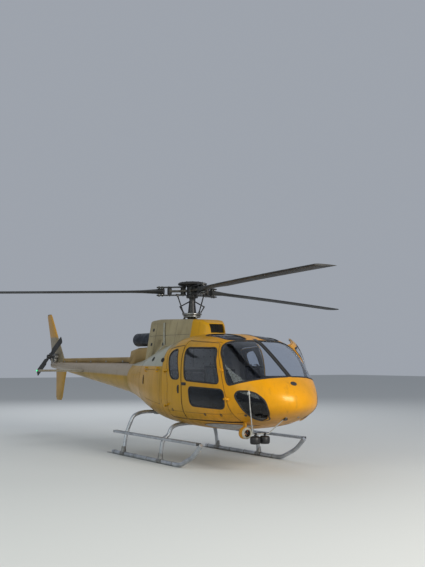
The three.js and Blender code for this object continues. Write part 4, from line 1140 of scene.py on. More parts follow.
def makeMast():
    mastPiece = turnedPiece("mastTube", [
        (0, 2.4806), (0.088, 2.4806), (0.088, 2.62), (0.092, 2.626), (0.092, 2.634), (0.086, 2.64), (0.086, 2.735),
        (0.08, 2.752), (0.06, 2.94), (0.056, 2.96), (0.056, 3.0), (0.062, 3.006), (0.062, 3.0195), (0, 3.0195),
    ], steps=56)
    fitOne(mastPiece, "black_composite", "hubBlack", "main_rotor", "rotor_mast")
    turning = turnedPiece("turningPlate", [
        (0.0945, 2.6845), (0.178, 2.6845), (0.186, 2.69), (0.19, 2.698), (0.19, 2.712), (0.184, 2.722), (0.15, 2.726),
        (0.12, 2.726), (0.112, 2.72), (0.0945, 2.72), (0.0945, 2.6845),
    ], steps=64)
    upwards = Vector((0, 0, 1))
    rods = []
    eye = [(0, -0.011), (0.019, -0.011), (0.023, -0.006), (0.023, 0.006), (0.019, 0.011), (0, 0.011)]
    for i in range(head["blades"]):
        turn = head["first"] + 120 * i + controls["rodTurn"]
        low = spoke(turn, controls["lowRadial"], controls["lowZ"])
        line = spoke(turn, controls["highRadial"], controls["highZ"]) - low
        rods.append(tubePiece("rod", [low + line * 0.1, low + line * 0.9], controls["rodRadius"], 8))
        for start, end in ((0.04, 0.12), (0.9, 0.98)):
            rods.append(tubePiece("rodSleeve", [low + line * start, low + line * end], 0.016, 6))
        for end in (low, low + line):
            rods.append(turnedPiece("rodEye", eye, end, spoke(turn).cross(upwards), 20))
    links = []
    for turn in controls["linkTurns"]:
        across = spoke(turn).cross(upwards)
        knee, foot, top = spoke(turn, 0.236, 2.852), spoke(turn, 0.168, 2.735), spoke(turn, 0.046, 2.955)
        for shift in (-0.016, 0.016):
            links.append(tubePiece("lowerLink", [foot + across * shift, knee + across * shift * 0.7], 0.012, 6))
            links.append(tubePiece("upperLink", [knee + across * shift * 0.7, top + across * shift * 1.6], 0.011, 6))
        links.append(tubePiece("kneePin", [knee - across * 0.024, knee + across * 0.024], 0.013, 6))
    fitSet("pitchRods", [*rods, *links], "bare_steel", "hubBlack", "main_rotor")
    fitSet("turningSwashplate", [turning], "bare_steel", "gearSteel", "main_rotor", "swashplate_rotating")
    fixed = turnedPiece("fixedPlate", [
        (0.0945, 2.64), (0.15, 2.64), (0.162, 2.646), (0.168, 2.654), (0.168, 2.672), (0.16, 2.682), (0.12, 2.684),
        (0.0945, 2.684), (0.0945, 2.64),
    ], steps=64)
    bellows = [(0, 0), (0.03, 0)]
    for i in range(controls["bootFolds"]):
        bellows += [(0.03 - 0.002 * i, 0.002 + 0.006 * i), (0.022 - 0.001 * i, 0.005 + 0.006 * i)]
    bellows += [(0.016, 0.028), (0, 0.028)]
    legs = []
    for turn in controls["legTurns"]:
        foot = spoke(turn, 0.15, 2.606)
        legs.append(tubePiece("leg", [foot, spoke(turn, 0.15, 2.648)], 0.014, 8))
        legs.append(turnedPiece("boot", bellows, foot - upwards * 0.001, steps=24))
    fitSet("fixedSwashplate", [fixed, *legs], "bare_steel", "gearSteel", node="swashplate_fixed")


makeMast()
print("mast and swashplates made")


# Main blades: radius, chord and thickness of each section
mainBlade = {
    "sections": [
        [0.5605, 0.15, 0.128], [0.72, 0.162, 0.094], [1.0, 0.25, 0.06], [1.27, 0.35, 0.044], [2.6, 0.35, 0.042],
        [4.0, 0.35, 0.042], [5.3, 0.35, 0.037], [5.343, 0.335, 0.026],
    ],
    "radius": 5.345, "bendStart": 0.72, "bendPower": 1.4, "tips": [3.075, 3.074, 3.195], "middle": 3.161,
    "angles": [-102.99, 17.01, 137.01],
    "stripStart": 1.35, "stripDepth": 0.13,
}


def bladeHeight(radius, tip):
    start = mainBlade["bendStart"]
    share = max(0.0, (radius - start) / (mainBlade["radius"] - start))
    return mainBlade["middle"] + (tip - mainBlade["middle"]) * share ** mainBlade["bendPower"]


def makeMainBlades():
    outline = foilPoints(14)
    stripOutline = [
        (c - 0.003, t * 1.03) for c, t in outline if c <= mainBlade["stripDepth"]
    ] + [(0.08, -0.3), (0.08, 0.3)]
    rows = between(mainBlade["sections"], 6)
    for index, (angle, tip) in enumerate(zip(mainBlade["angles"], mainBlade["tips"]), 1):
        rings, strip = [], []
        for radius, chord, thickness in rows:
            z = bladeHeight(radius, tip)
            for line, made in ((outline, rings), (stripOutline, strip)):
                if made is rings or radius >= mainBlade["stripStart"]:
                    made.append([Vector((radius, c * chord - chord / 3, z + t * thickness / 2)) for c, t in line])
        turn = Matrix.Rotation(math.radians(angle), 4, "Z")
        blade, edge = loftPiece(f"mainBlade_{index}", rings, 40), loftPiece(f"bladeStrip_{index}", strip, 40)
        fitOne(moved(blade, turn), "black_composite", bladeSkin, "main_rotor", f"main_blade_{index}")
        fitOne(moved(edge, turn), "bare_steel", "bladeSteel", "main_rotor")


makeMainBlades()
print("main blades made")


# Tail surfaces: fin rows hold z, leading edge, chord and thickness
tail = {
    "upperFin": [
        [1.74, 6.18, 0.985, 0.088], [2.12, 6.47, 0.68, 0.078], [2.44, 6.725, 0.52, 0.064], [2.985, 7.14, 0.33, 0.044],
        [3.04, 7.205, 0.25, 0.034]
    ],
    "lowerFin": [
        [1.69, 6.05, 0.74, 0.086], [1.3, 6.2, 0.56, 0.064], [0.87, 6.33, 0.42, 0.044], [0.793, 6.4, 0.31, 0.034]
    ],
    "cap": [(1.03, -0.045), (1.04, -0.01), (0.97, 0.003), (0.8, 0.0085), (0.5, 0.0095)],
    "halfSpan": 1.262, "front": 4.57, "chord": 0.5, "tipChord": 0.44, "thickness": 0.054, "z": 1.572,
}


def makeTailSurfaces():
    outline = foilPoints(14)
    for name, node, material in (("upperFin", "upper_fin", finSkin), ("lowerFin", "lower_fin", tailSkin)):
        rows = between(tail[name], 5)
        rings = [[Vector((t * thick / 2, front + c * chord, z)) for c, t in outline] for z, front, chord, thick in rows]
        fitOne(loftPiece(name, rings, 40), "yellow_paint", material, node=node)
    z, front, chord, thick = tail["upperFin"][-1]
    cap = []
    for grow, rise in tail["cap"]:
        start = front + chord / 2 - 0.5 * chord * grow
        cap.append([Vector((t * thick * grow / 2, start + c * chord * grow, z + rise)) for c, t in outline])
    fitOne(loftPiece("finCap", cap, 50), "dark_plastic", "plasticDark")
    rings = []
    for x in np.concatenate([[-1.0, -0.996, -0.985], np.linspace(-0.96, 0.96, 17), [0.985, 0.996, 1.0]]):
        ending = max(0.0, (abs(x) - 0.985) / 0.015)
        chord = tail["chord"] + (tail["tipChord"] - tail["chord"]) * abs(x) - 0.03 * ending ** 2
        thick = tail["thickness"] * (1 - 0.55 * ending ** 2)
        start = tail["front"] + 0.015 * ending ** 2
        rings.append([Vector((x * tail["halfSpan"], start + c * chord, tail["z"] + t * thick / 2)) for c, t in outline])
    fitOne(loftPiece("stabiliserWing", rings, 40), "yellow_paint", stabiliserSkin, node="stabiliser")
    dome = [(0, -0.012), (0.017, -0.012), (0.017, 0.01), (0.0145, 0.02), (0.008, 0.025), (0, 0.026)]
    y, z = tail["front"] + 0.3, tail["z"]
    for side, sign, colour in (("starboard", -1, greenLight), ("port", 1, redLight)):
        light = turnedPiece(f"tipLight_{side}", dome, (sign * 1.262, y, z), (sign, 0, 0), 20)
        fitOne(light, "tinted_glass", colour)
        foot = boxPiece(f"tipLightFoot_{side}", (sign * 1.258, y, z), (0.016, 0.11, 0.036), 0.006)
        fitOne(foot, "dark_plastic", "plasticDark")
    bulb = [(0, -0.02), (0.02, -0.02), (0.02, 0.012), (0.016, 0.026), (0.008, 0.034), (0, 0.036)]
    fitOne(turnedPiece("tailLight", bulb, (0, 6.945, 1.69), (0, 1, 0), 24), "tinted_glass", clearLight)


makeTailSurfaces()
print("tail surfaces made")


# Tail rotor
tailBlades = {
    "centre": (-0.262, 6.657, 1.905), "tilt": 62.0, "caseBolts": 8,
    "sections": [
        [0.09, 0.075, 0.034], [0.2, 0.09, 0.03], [0.27, 0.185, 0.02], [0.9, 0.185, 0.018], [0.927, 0.15, 0.012]
    ],
}


def makeTailRotor():
    outline = foilPoints(12)
    centre, tilt = tailBlades["centre"], tailBlades["tilt"]
    _, y, z = centre
    blades, tips = [], []
    rings = [
        [Vector((t * thick / 2, c * chord - chord / 2, radius)) for c, t in outline]
        for radius, chord, thick in between(tailBlades["sections"], 4)
    ]
    for extra in (0, 180):
        turn = at(centre, tilt + extra)
        blades.append(moved(loftPiece("tailBlade", rings, 40), turn))
        tips.append(moved(boxPiece("cuff", (0, 0, 0.17), (0.04, 0.078, 0.15), 0.008), turn))
        for place in (0.13, 0.21):
            tips.append(moved(boltPiece("cuffBolt", 0.009, 0.007), turn @ at((-0.0205, 0, place), -90, "Y")))
    fitSet("tailRotorBlades", blades, "black_composite", bladeSkin, "tail_rotor", "tail_rotor")
    hub = turnedPiece("hub", [
        (0, -0.05), (0.05, -0.05), (0.056, -0.044), (0.062, -0.028), (0.062, 0.02), (0.05, 0.028), (0.036, 0.034),
        (0.034, 0.1115), (0, 0.1115),
    ], centre, (1, 0, 0), 40)
    arm = boxPiece("spiderArm", (0.03, 0, 0.062), (0.018, 0.03, 0.09), 0.005)
    arms = copiesAt(arm, [at(centre, tilt + 90), at(centre, tilt + 270)])
    fitSet("tailRotorHub", [hub, *tips, *arms], "bare_steel", "hubBlack", "tail_rotor")
    case = turnedPiece("gearcase", [
        (0, -0.1495), (0.06, -0.1495), (0.07, -0.145), (0.076, -0.132), (0.088, -0.12), (0.088, -0.1), (0.082, -0.094),
        (0.088, -0.088), (0.088, -0.052), (0.075, -0.038), (0.05, -0.0345), (0, -0.0345),
    ], (0, y, z), (1, 0, 0), 44)
    foot = boxPiece("stand", (-0.092, y, 1.835), (0.09, 0.118, 0.13), 0.014)
    angles = [2 * math.pi * i / tailBlades["caseBolts"] for i in range(tailBlades["caseBolts"])]
    moves = [at((-0.1465, y + 0.062 * math.cos(a), z + 0.062 * math.sin(a)), -90, "Y") for a in angles]
    bolts = copiesAt(boltPiece("caseBolt", 0.007, 0.006), moves)
    fitSet("tailGearbox", [case, foot, *bolts], "bare_steel", "gearSteel", node="tail_gearbox")


makeTailRotor()
print("tail rotor made")


# Landing gear
gear = {
    "track": 2.17, "radius": 0.0375,
    "line": [
        (1.16, 0), (0.6, 0), (0.0, 0), (-0.6, 0), (-1.114, 0), (-1.214, 0), (-1.404, 0.014), (-1.574, 0.078),
        (-1.83, 0.202), (-2.052, 0.386)
    ],
    "tubes": {
        "cross_tube_front": {"y": -0.701, "centre": 0.672, "shoulder": (0.64, 0.672), "knee": (0.86, 0.6)},
        "cross_tube_rear": {"y": 0.721, "centre": 0.79, "shoulder": (0.62, 0.812), "knee": (0.88, 0.73)},
    },
    "tubeRadius": 0.0348, "clampX": 0.36, "bands": (-1.15, -0.25, 0.25, 1.06),
    "shoes": ((1.02, 0.8), (0.66, -0.64), (-0.76, -1.18)),
    "step": {"x": 1.112, "top": 0.462, "width": 0.094, "height": 0.044, "rear": 1.018, "front": -2.023, "studs": 0.06},
}


def crossTubeLine(values):
    side = gear["track"] / 2
    (shoulderX, shoulderZ), (kneeX, kneeZ) = values["shoulder"], values["knee"]
    foot = 0.072
    half = [
        (shoulderX, shoulderZ), (kneeX - 0.09, kneeZ + 0.05), (kneeX, kneeZ), (kneeX + 0.06, kneeZ - 0.11),
        (side - 0.06, 0.4),
        (side - 0.01, foot + 0.03), (side, foot),
    ]
    line = [(-x, z) for x, z in reversed(half)] + [(0, values["centre"])] + half
    return curveThrough([(x, values["y"], z) for x, z in line], 8)


def makeLandingGear():
    for node, values in gear["tubes"].items():
        route = crossTubeLine(values)
        tube = tubePiece(node + "_smooth", route, gear["tubeRadius"], 12)
        fitOne(tube, "silver_paint", "skidSilver", node=node)
        y, z = values["y"], values["centre"] + 0.012
        clamps = [
            boxPiece("bellyClamp", (x, y, z), (0.085, 0.115, 0.085), 0.012) for x in (-gear["clampX"], gear["clampX"])
        ]
        fitSet(node + "_clamps", clamps, "bare_steel", "gearSteel")
    x = -gear["track"] / 2
    runner = curveThrough([(x, y, gear["radius"] + rise + 0.0005) for y, rise in gear["line"]], 8)
    skid = tubePiece("skidRunner", runner, gear["radius"], 12)
    plug = [(0, -0.03), (0.0362, -0.03), (0.0362, 0.008), (0.031, 0.015), (0, 0.017)]
    rear = turnedPiece("rearPlug", plug, (x, gear["line"][0][0] - 0.014, 0.038), (0, 1, 0), 28)
    tip = [(0, -0.05), (0.0376, -0.05), (0.0376, 0.002), (0.034, 0.006), (0, 0.007)]
    front = turnedPiece("tipPlug", tip, runner[-1], (runner[-1] - runner[-3]).normalized(), 28)
    fitPair("skidRunner", [skid, rear, front], "silver_paint", "skidSilver", node="skid")
    saddles, moves = [], []
    for values in gear["tubes"].values():
        y = values["y"]
        saddles.append(turnedPiece("saddle", sleeve(0.0378, 0.0435, 0.085), (x, y, 0.0385), (0, 1, 0), 32))
        socket = [(0.0352, 0.0), (0.048, 0.0), (0.043, 0.07), (0.04, 0.105), (0.0352, 0.105), (0.0352, 0.0)]
        saddles.append(turnedPiece("socket", socket, (x + 0.001, y, 0.068), (0.05, 0, 1), 32))
        moves += [
            at((x + sign * 0.0425, y + shift, 0.046), sign * 90, "Y") for shift in (-0.06, 0.06) for sign in (-1, 1)
        ]
    for y in gear["bands"]:
        saddles.append(turnedPiece("shoeBand", sleeve(0.0378, 0.0405, 0.012), (x, y, 0.0385), (0, 1, 0), 28))
    bolts = copiesAt(boltPiece("saddleBolt", 0.009, 0.008), moves)
    fitPair("skidSaddles", [*saddles, *bolts], "silver_paint", "gearSteel")
    shoe = [
        boxPiece("wearShoe", (x, (start + end) / 2, 0.0065), (0.046, start - end, 0.011), 0.004)
        for start, end in gear["shoes"]
    ]
    fitPair("wearShoes", shoe, "dark_plastic", "shoeSteel")
    spring = boxPiece("heelSpring", (x, 1.245, 0.0055), (0.05, 0.28, 0.008), 0.003)
    plate = boxPiece("heelPlate", (x, 1.12, 0.012), (0.05, 0.06, 0.01), 0.003)
    fitPair("heelStrip", [spring, plate], "bare_steel", "gearSteel")
    makeSteps()


def makeSteps():
    values = gear["step"]
    x, top, width, height = values["x"], values["top"], values["width"], values["height"]
    low = top - height
    lip = 0.008
    section = [
        (-width / 2, low + lip), (-width / 2 + lip, low), (width / 2 - lip, low), (width / 2, low + lip),
        (width / 2, top - lip),
        (width / 2 - lip, top - 0.002), (-width / 2 + lip, top - 0.002), (-width / 2, top - lip),
    ]
    rings = [[Vector((-x + u, y, v)) for u, v in section] for y in (values["front"], values["rear"])]
    rail = bevelEdges(loftPiece("rail", rings, 30), 0.002, 2, 60)
    step, upwards = values["studs"], Vector((0, 0, 1))
    tread = [
        (Vector((-x, values["front"] + step * i, top - 0.0025)) + Vector((shift, 0, 0)), upwards)
        for i in range(1, int((values["rear"] - values["front"]) / step)) for shift in (-0.026, 0, 0.026)
    ]
    studs = dots("treadStuds", tread, 0.009, 0.003, 8)
    brackets = []
    for tube in gear["tubes"].values():
        brackets.append(boxPiece("bracket", (-x + 0.075, tube["y"], low + 0.014), (0.085, 0.06, 0.022), 0.005))
        route = crossTubeLine(tube)
        spot = min((p for p in route if p.x < 0), key=lambda p: abs(p.z - low - 0.012))
        ahead = min((p for p in route if p.x < 0 and p.z > spot.z + 0.03), key=lambda p: p.z)
        brackets.append(turnedPiece("collar", sleeve(0.0352, 0.0405, 0.026), spot, ahead - spot, 28))
    caps = [
        boxPiece("endCap", (-x, y, (top + low) / 2), (width + 0.002, 0.012, height - 0.001), 0.003)
        for y in (values["front"] + 0.005, values["rear"] - 0.005)
    ]
    fitPair("stepRail", [rail, *brackets], "silver_paint", "skidSilver", node="step")
    fitPair("stepTread", [studs, *caps], "dark_plastic", "plasticDark")


makeLandingGear()
print("landing gear made")


# Load mirrors, their struts and the lamp below the nose
mirrors = {
    "heads": [-0.54, -0.352], "y": -2.8, "barZ": 0.64, "radius": 0.0095,
    "longFoot": (-0.7, -2.846, 1.29), "shortFoot": (-0.104, -3.0175, 0.895),
    "profile": [
        (0, 0.4815), (0.06, 0.4815), (0.07, 0.484), (0.08, 0.497), (0.0838, 0.512), (0.0838, 0.578), (0.078, 0.592),
        (0.062, 0.606), (0.03, 0.6115), (0, 0.6118),
    ],
}
lampPlace = (-0.56, -2.62, 0.64)


def makeMirrors():
    y, z = mirrors["y"], mirrors["barZ"]
    bodies = [turnedPiece("mirrorHead", mirrors["profile"], (x, y, 0), steps=48) for x in mirrors["heads"]]
    for x in mirrors["heads"]:
        bodies.append(turnedPiece("clampRing", sleeve(0.0115, 0.02, 0.018), (x, y, z), (1, 0, 0), 24))
        bodies.append(tubePiece("neck", [(x, y, 0.606), (x, y, 0.624)], 0.016, 8))
        bodies.append(turnedPiece("headRim", sleeve(0.081, 0.0839, 0.008), (x, y, 0.545), steps=48))
    fitSet("mirrorHeads", bodies, "dark_plastic", "drumBlack", node="load_mirrors")
    face = [(0, -0.001), (0.066, -0.001), (0.066, 0.002), (0, 0.004)]
    faces = [turnedPiece("mirrorFace", face, (x, y, 0.4815), (0, 0, -1), 40) for x in mirrors["heads"]]
    fitSet("mirrorFaces", faces, "bare_steel", mirrorGlass)
    radius = mirrors["radius"]
    bars = [
        tubePiece("longStrut", [(-0.6955, -2.8465, 1.33), (-0.7, -2.88, 1.1), (-0.59, y, z)], radius, 8),
        tubePiece("shortStrut", [mirrors["shortFoot"], (-0.27, y, z)], radius, 8),
        tubePiece("crossBar", [(-0.622, y, z), (-0.268, y, z)], radius, 8),
    ]
    foot = [(0, -0.002), (0.026, -0.002), (0.026, 0.004), (0.014, 0.01), (0, 0.012)]
    for place in (mirrors["longFoot"], mirrors["shortFoot"]):
        spot, normal, _ = bodyFine.nearest(Vector(place))
        bars.append(turnedPiece("foot", foot, spot, normal, 24))
    fitSet("mirrorStruts", bars, "bare_steel", "paleMetal", node="mirror_struts")
    x = lampPlace[0]
    shell = turnedPiece("lampShell", [
        (0.06, 0.012), (0.062, 0.002), (0.074, -0.0005), (0.084, 0.004), (0.0945, 0.024), (0.0945, 0.04),
        (0.088, 0.048),
        (0.0945, 0.056), (0.0945, 0.118), (0.086, 0.132), (0.06, 0.159), (0.03, 0.1598), (0, 0.1598), (0, 0.14),
        (0.05, 0.138), (0.078, 0.115), (0.078, 0.03), (0.06, 0.012),
    ], lampPlace, (0, 1, 0), 48, 30)
    post = boxPiece("lampPost", (x, -2.54, 0.765), (0.028, 0.076, 0.098), 0.006)
    collar = [(0, -0.004), (0.032, -0.004), (0.032, 0.006), (0.018, 0.014), (0, 0.014)]
    ring = turnedPiece("lampCollar", collar, (x, -2.54, 0.727), steps=24)
    fitSet("landingLamp", [shell, post, ring], "yellow_paint", lampSkin, node="landing_lamp")
    lens = turnedPiece("lampLens", [(0, 0.012), (0.06, 0.016), (0.061, 0.022), (0, 0.022)], lampPlace, (0, 1, 0), 40)
    fitOne(lens, "tinted_glass", lensGlass)
    bowl = turnedPiece(
        "lampBowl",
        [
            (0.0755, 0.03), (0.062, 0.075), (0.03, 0.105), (0, 0.112), (0, 0.116), (0.034, 0.109), (0.066, 0.078),
            (0.0775, 0.03), (0.0755, 0.03)
        ],
        lampPlace, (0, 1, 0), 40
    )
    bulb = turnedPiece(
        "lampBulb", [(0, 0.05), (0.008, 0.053), (0.012, 0.064), (0.01, 0.08), (0.006, 0.1), (0, 0.106)], lampPlace,
        (0, 1, 0), 20
    )
    fitSet("lampInside", [bowl, bulb], "bare_steel", "lampAmber")
    rim = turnedPiece(
        "lampRim",
        [
            (0.06, 0.0115), (0.0615, -0.0002), (0.074, -0.0022), (0.0855, 0.003), (0.0955, 0.024), (0.0945, 0.025),
            (0.083, 0.006), (0.062, 0.004), (0.06, 0.0115)
        ],
        lampPlace, (0, 1, 0), 48
    )
    fitOne(rim, "beige_paint", "paleBeige")
    spot, normal, _ = bodyFine.nearest(Vector(mirrors["shortFoot"]))
    bracket = boxPiece("strutBracket", (0, 0, 0.012), (0.06, 0.05, 0.028), 0.006, 3)
    fitOne(moved(bracket, stand(spot, normal)), "dark_plastic", "drumBlack")


makeMirrors()
print("mirrors and lamp made")


# Fine pieces on the body, laid on the starboard skin and mirrored to port
trim = {
    "handles": {  # y, z, body, turn in degrees
        "frontHandle": (-1.235, 1.405, "front_door", 180), "rearHandle": (-1.043, 1.31, "rear_door", 90),
    },
    "latch": (0.615, 1.43),
    "dots": [
        (-0.789, 0.937, "rear_door"), (-1.846, 0.908, "front_door"), (-2.269, 0.92, "front_door"),
        (-2.725, 0.935, "airframe"),
    ],
    "vents": [(0.22, 1.837), (-0.365, 1.818)],
}


def makeHandle(name, y, z, body, degrees):
    # A lever in a shallow dished plate
    plate = platePiece("dish", roundedBox((-0.075, -0.026), (0.075, 0.026), 0.02), -0.003, 0.003, 0.001)
    well = platePiece("well", roundedBox((-0.06, -0.017), (0.06, 0.017), 0.015), 0.0028, 0.0036, 0.0003)
    line = [(-0.045, 0, 0.003), (-0.04, 0, 0.014), (-0.02, 0, 0.018), (0.03, 0, 0.018), (0.05, 0, 0.015)]
    lever = tubePiece("lever", curveThrough(line), 0.0065, 8)
    pivot = turnedPiece(
        "pivot", [(0, 0), (0.013, 0), (0.013, 0.01), (0.01, 0.014), (0, 0.014)], (-0.045, 0, 0), steps=20
    )
    turnToSkin = stand(*onSkin(y, z)) @ Matrix.Rotation(math.radians(degrees), 4, "Z")
    fitTwin(moved(joinPieces(name + "Well", [plate, well]), turnToSkin), "dark_plastic", "plasticDark", body)
    fitTwin(moved(joinPieces(name, [lever, pivot]), turnToSkin), "bare_steel", "shoeSteel", body)


def makeBaggageLatch(y, z):
    # A dark upright bar with a key plate above it
    bar = boxPiece("latchBar", (0, -0.005, 0.005), (0.026, 0.12, 0.014), 0.005)
    plate = platePiece("latchPlate", roundedBox((-0.022, -0.075), (0.022, 0.1), 0.012), -0.003, 0.002, 0.0008)
    button = [(0, 0.001), (0.012, 0.001), (0.012, 0.004), (0.009, 0.006), (0, 0.006)]
    lock = turnedPiece("latchLock", button, (0, 0.08, 0), steps=20)
    latch = moved(joinPieces("baggageLatch", [bar, plate, lock]), stand(*onSkin(y, z)))
    fitTwin(latch, "dark_plastic", "drumBlack", "baggage_door")


def ovalOutline(y, z, halfLength, halfHeight, count=40):
    angles = [2 * math.pi * i / count for i in range(count)]
    return [(y + halfLength * math.cos(a), z + halfHeight * math.sin(a)) for a in angles]


def makeTrim():
    for name, (y, z, body, degrees) in trim["handles"].items():
        makeHandle(name, y, z, body, degrees)
    makeBaggageLatch(*trim["latch"])
    cupLine = [
        (0.014, 0.002), (0.023, 0.002), (0.028, 0), (0.028, -0.003), (0, -0.003), (0, -0.0015), (0.013, -0.0015),
        (0.014, 0.002),
    ]
    for index, (y, z, body) in enumerate(trim["dots"], 1):
        cup = moved(turnedPiece(f"jackPoint{index}", cupLine, steps=24), stand(*onSkin(y, z)))
        fitTwin(cup, "dark_plastic", "shoeSteel", body)
    rim = [(-0.006, -0.003), (0.006, -0.003), (0.005, 0.002), (0, 0.004), (-0.005, 0.002)]
    for index, (y, z) in enumerate(trim["vents"], 1):
        edge = bandPiece("rim", *laidOnSkin(ovalOutline(y, z, 0.072, 0.038)), rim, closed=True)
        # Each vent's opening is a near-black plate laid on the skin inside the rim: painted shade standing for the dark
        # hole
        dark = skinPatch(f"ventHole{index}", ovalOutline(y, z, 0.069, 0.035), 0, 0.0012)
        slats = []
        for shift in (-0.021, -0.007, 0.007, 0.021):
            reach = 0.062 * math.sqrt(1 - (shift / 0.036) ** 2 * 0.9)
            ends = [onSkin(y + sign * reach, z + shift) for sign in (-1, 1)]
            slats.append(tubePiece("slat", [spot + normal * 0.003 for spot, normal in ends], 0.0022, 6))
        fitPair(f"ventRim{index}", [edge, *slats], "dark_plastic", "plasticDark")
        fitTwin(dark, "dark_plastic", "sootBlack")


def seamBand(name, line, width, height=0.0012):
    # A thin dark line of sealant along points given as y and z on the starboard skin
    points = evenly([(0, u, v) for u, v in line], 0.03)
    half = width / 2
    section = [(-half, -0.003), (half, -0.003), (half, height * 0.6), (0, height), (-half, height * 0.6)]
    return bandPiece(name, *laidOnSkin([(p.y, p.z) for p in points]), section)


seams = {
    # body: lines of y and z with their width
    "front_door": [([(-2.52, 0.952), (-2.1, 0.93), (-1.6, 0.922), (-1.205, 0.922)], 0.004)],
    "rear_door": [([(-1.15, 0.922), (-0.66, 0.924)], 0.004)],
    "airframe": [
        ([(-2.95, 0.985), (-2.61, 0.957)], 0.004), ([(0.979, 0.9), (0.979, 1.9)], 0.006),
        ([(-0.4, 0.76), (-0.4, 2.18)], 0.006),
    ],
}


def makeSeams():
    for body, lines in seams.items():
        made = [seamBand("seam", smoothLine(line), width) for line, width in lines]
        fitPair(body + "_seams", made, "dark_plastic", "rubberBlack", body)
    section = [(-0.012, -0.002), (0.012, -0.002), (0.012, 0.0012), (0.01, 0.002), (-0.01, 0.002), (-0.012, 0.0012)]
    angles = np.linspace(0, 2 * math.pi, 49)[:-1]
    rings = []
    for y in (2.075, 4.3, 6.02):
        spots = [boomFine.hit((0, y, 1.62), (math.cos(a), 0, math.sin(a))) for a in angles]
        rings.append(bandPiece("boomRing", *zip(*spots), section, closed=True))
    fitSet("boomRings", rings, "yellow_paint", boomSkin)


def smoothLine(points, steps=8):
    return [(p.y, p.z) for p in curveThrough([(0, u, v) for u, v in points], steps)]


rivetRows = {
    # body: first y, last y, first z, last z, spacing
    "front_door": [(-2.5, -1.23, 0.89, 0.88, 0.045)],
    "rear_door": [(-1.13, -0.68, 0.88, 0.88, 0.045)],
    "airframe": [
        (-0.44, 0.95, 0.9, 0.96, 0.045), (1.02, 1.98, 1.02, 1.2, 0.05), (-0.36, -0.36, 0.95, 1.62, 0.045),
        (0.94, 0.94, 0.98, 1.84, 0.045), (1.02, 1.02, 0.98, 1.84, 0.045), (0.7, 0.7, 1.0, 1.62, 0.045),
        (-0.33, 0.93, 1.69, 1.69, 0.045),
    ],
}


def makeRivets():
    for body, rows in rivetRows.items():
        places = []
        for y0, y1, z0, z1, step in rows:
            count = max(2, round(math.hypot(y1 - y0, z1 - z0) / step))
            for i in range(count + 1):
                spot, normal = onSkin(y0 + (y1 - y0) * i / count, z0 + (z1 - z0) * i / count)
                if spot is not None:
                    places.append((spot, normal))
        fitTwin(dots(body + "_rivets", places, 0.0038, 0.0012, 6), "yellow_paint", mustardSkin, body)
    rays = [(y, 1.62, angle) for y in (2.09, 2.13, 2.37, 4.28, 4.32, 6.0, 6.04) for angle in np.linspace(-75, 65, 15)]
    rays += [(y, 1.5 + 0.035 * (y - 2), angle) for angle in (0, -40) for y in np.arange(2.2, 6.8, 0.06)]
    found = [boomFine.hit((0, y, z), (-spoke(angle).x, 0, spoke(angle).y)) for y, z, angle in rays]
    places = [pair for pair in found if pair[0] is not None]
    fitTwin(dots("boomRivets", places, 0.0038, 0.0012, 6), "yellow_paint", boomSkin)


def makeNosePieces():
    place = stand(*bodyFine.hit((-0.021, -2.6, 1.442), (0, -1, 0)))
    profile = [(0, -0.003), (0.044, -0.003), (0.044, 0.002), (0.036, 0.0045), (0.012, 0.0055), (0, 0.0055)]
    lid = moved(turnedPiece("noseCap", profile, steps=36), place @ Matrix.Scale(1.35, 4, (1, 0, 0)))
    fitOne(lid, "dark_plastic", "plasticDark")
    # A grey lens-shaped plate on the belly is a painted reflection of the floor, and the dark rim along its upper edge
    # is painted shade edging it
    lens = [
        (-1.55, 0.716), (-1.7, 0.742), (-1.92, 0.76), (-2.178, 0.768), (-2.42, 0.762), (-2.56, 0.746), (-2.4, 0.706),
        (-2.15, 0.676), (-1.88, 0.66), (-1.68, 0.68),
    ]
    panel = skinPatch("bellyReflectionPanel", smoothLine([*lens, lens[0]], 5)[:-1], -0.35, 0.003)
    fitTwin(panel, "beige_paint", "paintedReflectionGrey")
    fitTwin(seamBand("bellyReflectionEdge", smoothLine(lens[:6], 6), 0.014, 0.004), "dark_plastic", "rubberBlack")
    spot, normal, _ = bodyFine.nearest(Vector((-0.12, -3.02, 1.0)))
    profile = [(0, -0.003), (0.02, -0.003), (0.02, 0.004), (0.012, 0.009), (0, 0.01)]
    fitTwin(moved(turnedPiece("noseFitting", profile, steps=24), stand(spot, normal)), "bare_steel", "gearSteel")


# Door edges as y, z and corner length: the dark rubber along the rim of each door
doorRims = {
    "front_door": [
        (-2.062, 2.105, 0.06), (-2.305, 1.715, 0.15), (-2.4, 1.4), (-2.548, 0.92, 0.06), (-2.56, 0.814, 0.12),
        (-1.185, 0.79, 0.04), (-1.11, 2.05), (-1.106, 2.165, 0.07),
    ],
    "rear_door": [
        (-1.108, 2.085, 0.06), (-1.185, 0.79, 0.04), (-0.61, 0.8, 0.08), (-0.64, 1.35), (-0.59, 1.7, 0.2),
        (-0.5, 2.035, 0.15),
    ],
}


def makeDoorRims():
    for body, corners in doorRims.items():
        points = evenly([(0, *p) for p in rounded(corners)], 0.03, closed=True)
        middle = sum(points, Vector()) / len(points)
        inner = []
        for i, p in enumerate(points):
            along = points[(i + 1) % len(points)] - points[i - 1]
            inward = along.cross(Vector((1, 0, 0))).normalized()
            if inward.dot(middle - p) < 0:
                inward = -inward
            inner.append((p + inward * 0.0105).yz)
        section = [(-0.0034, -0.002), (0.0034, -0.002), (0.0034, 0.0006), (0, 0.0012), (-0.0034, 0.0006)]
        rim = bandPiece(body + "_rim", *laidOnSkin(inner), section, closed=True)
        fitTwin(rim, "dark_plastic", "rubberBlack", body)


makeTrim()
makeDoorRims()
makeSeams()
makeRivets()
makeNosePieces()
print("body trim made")


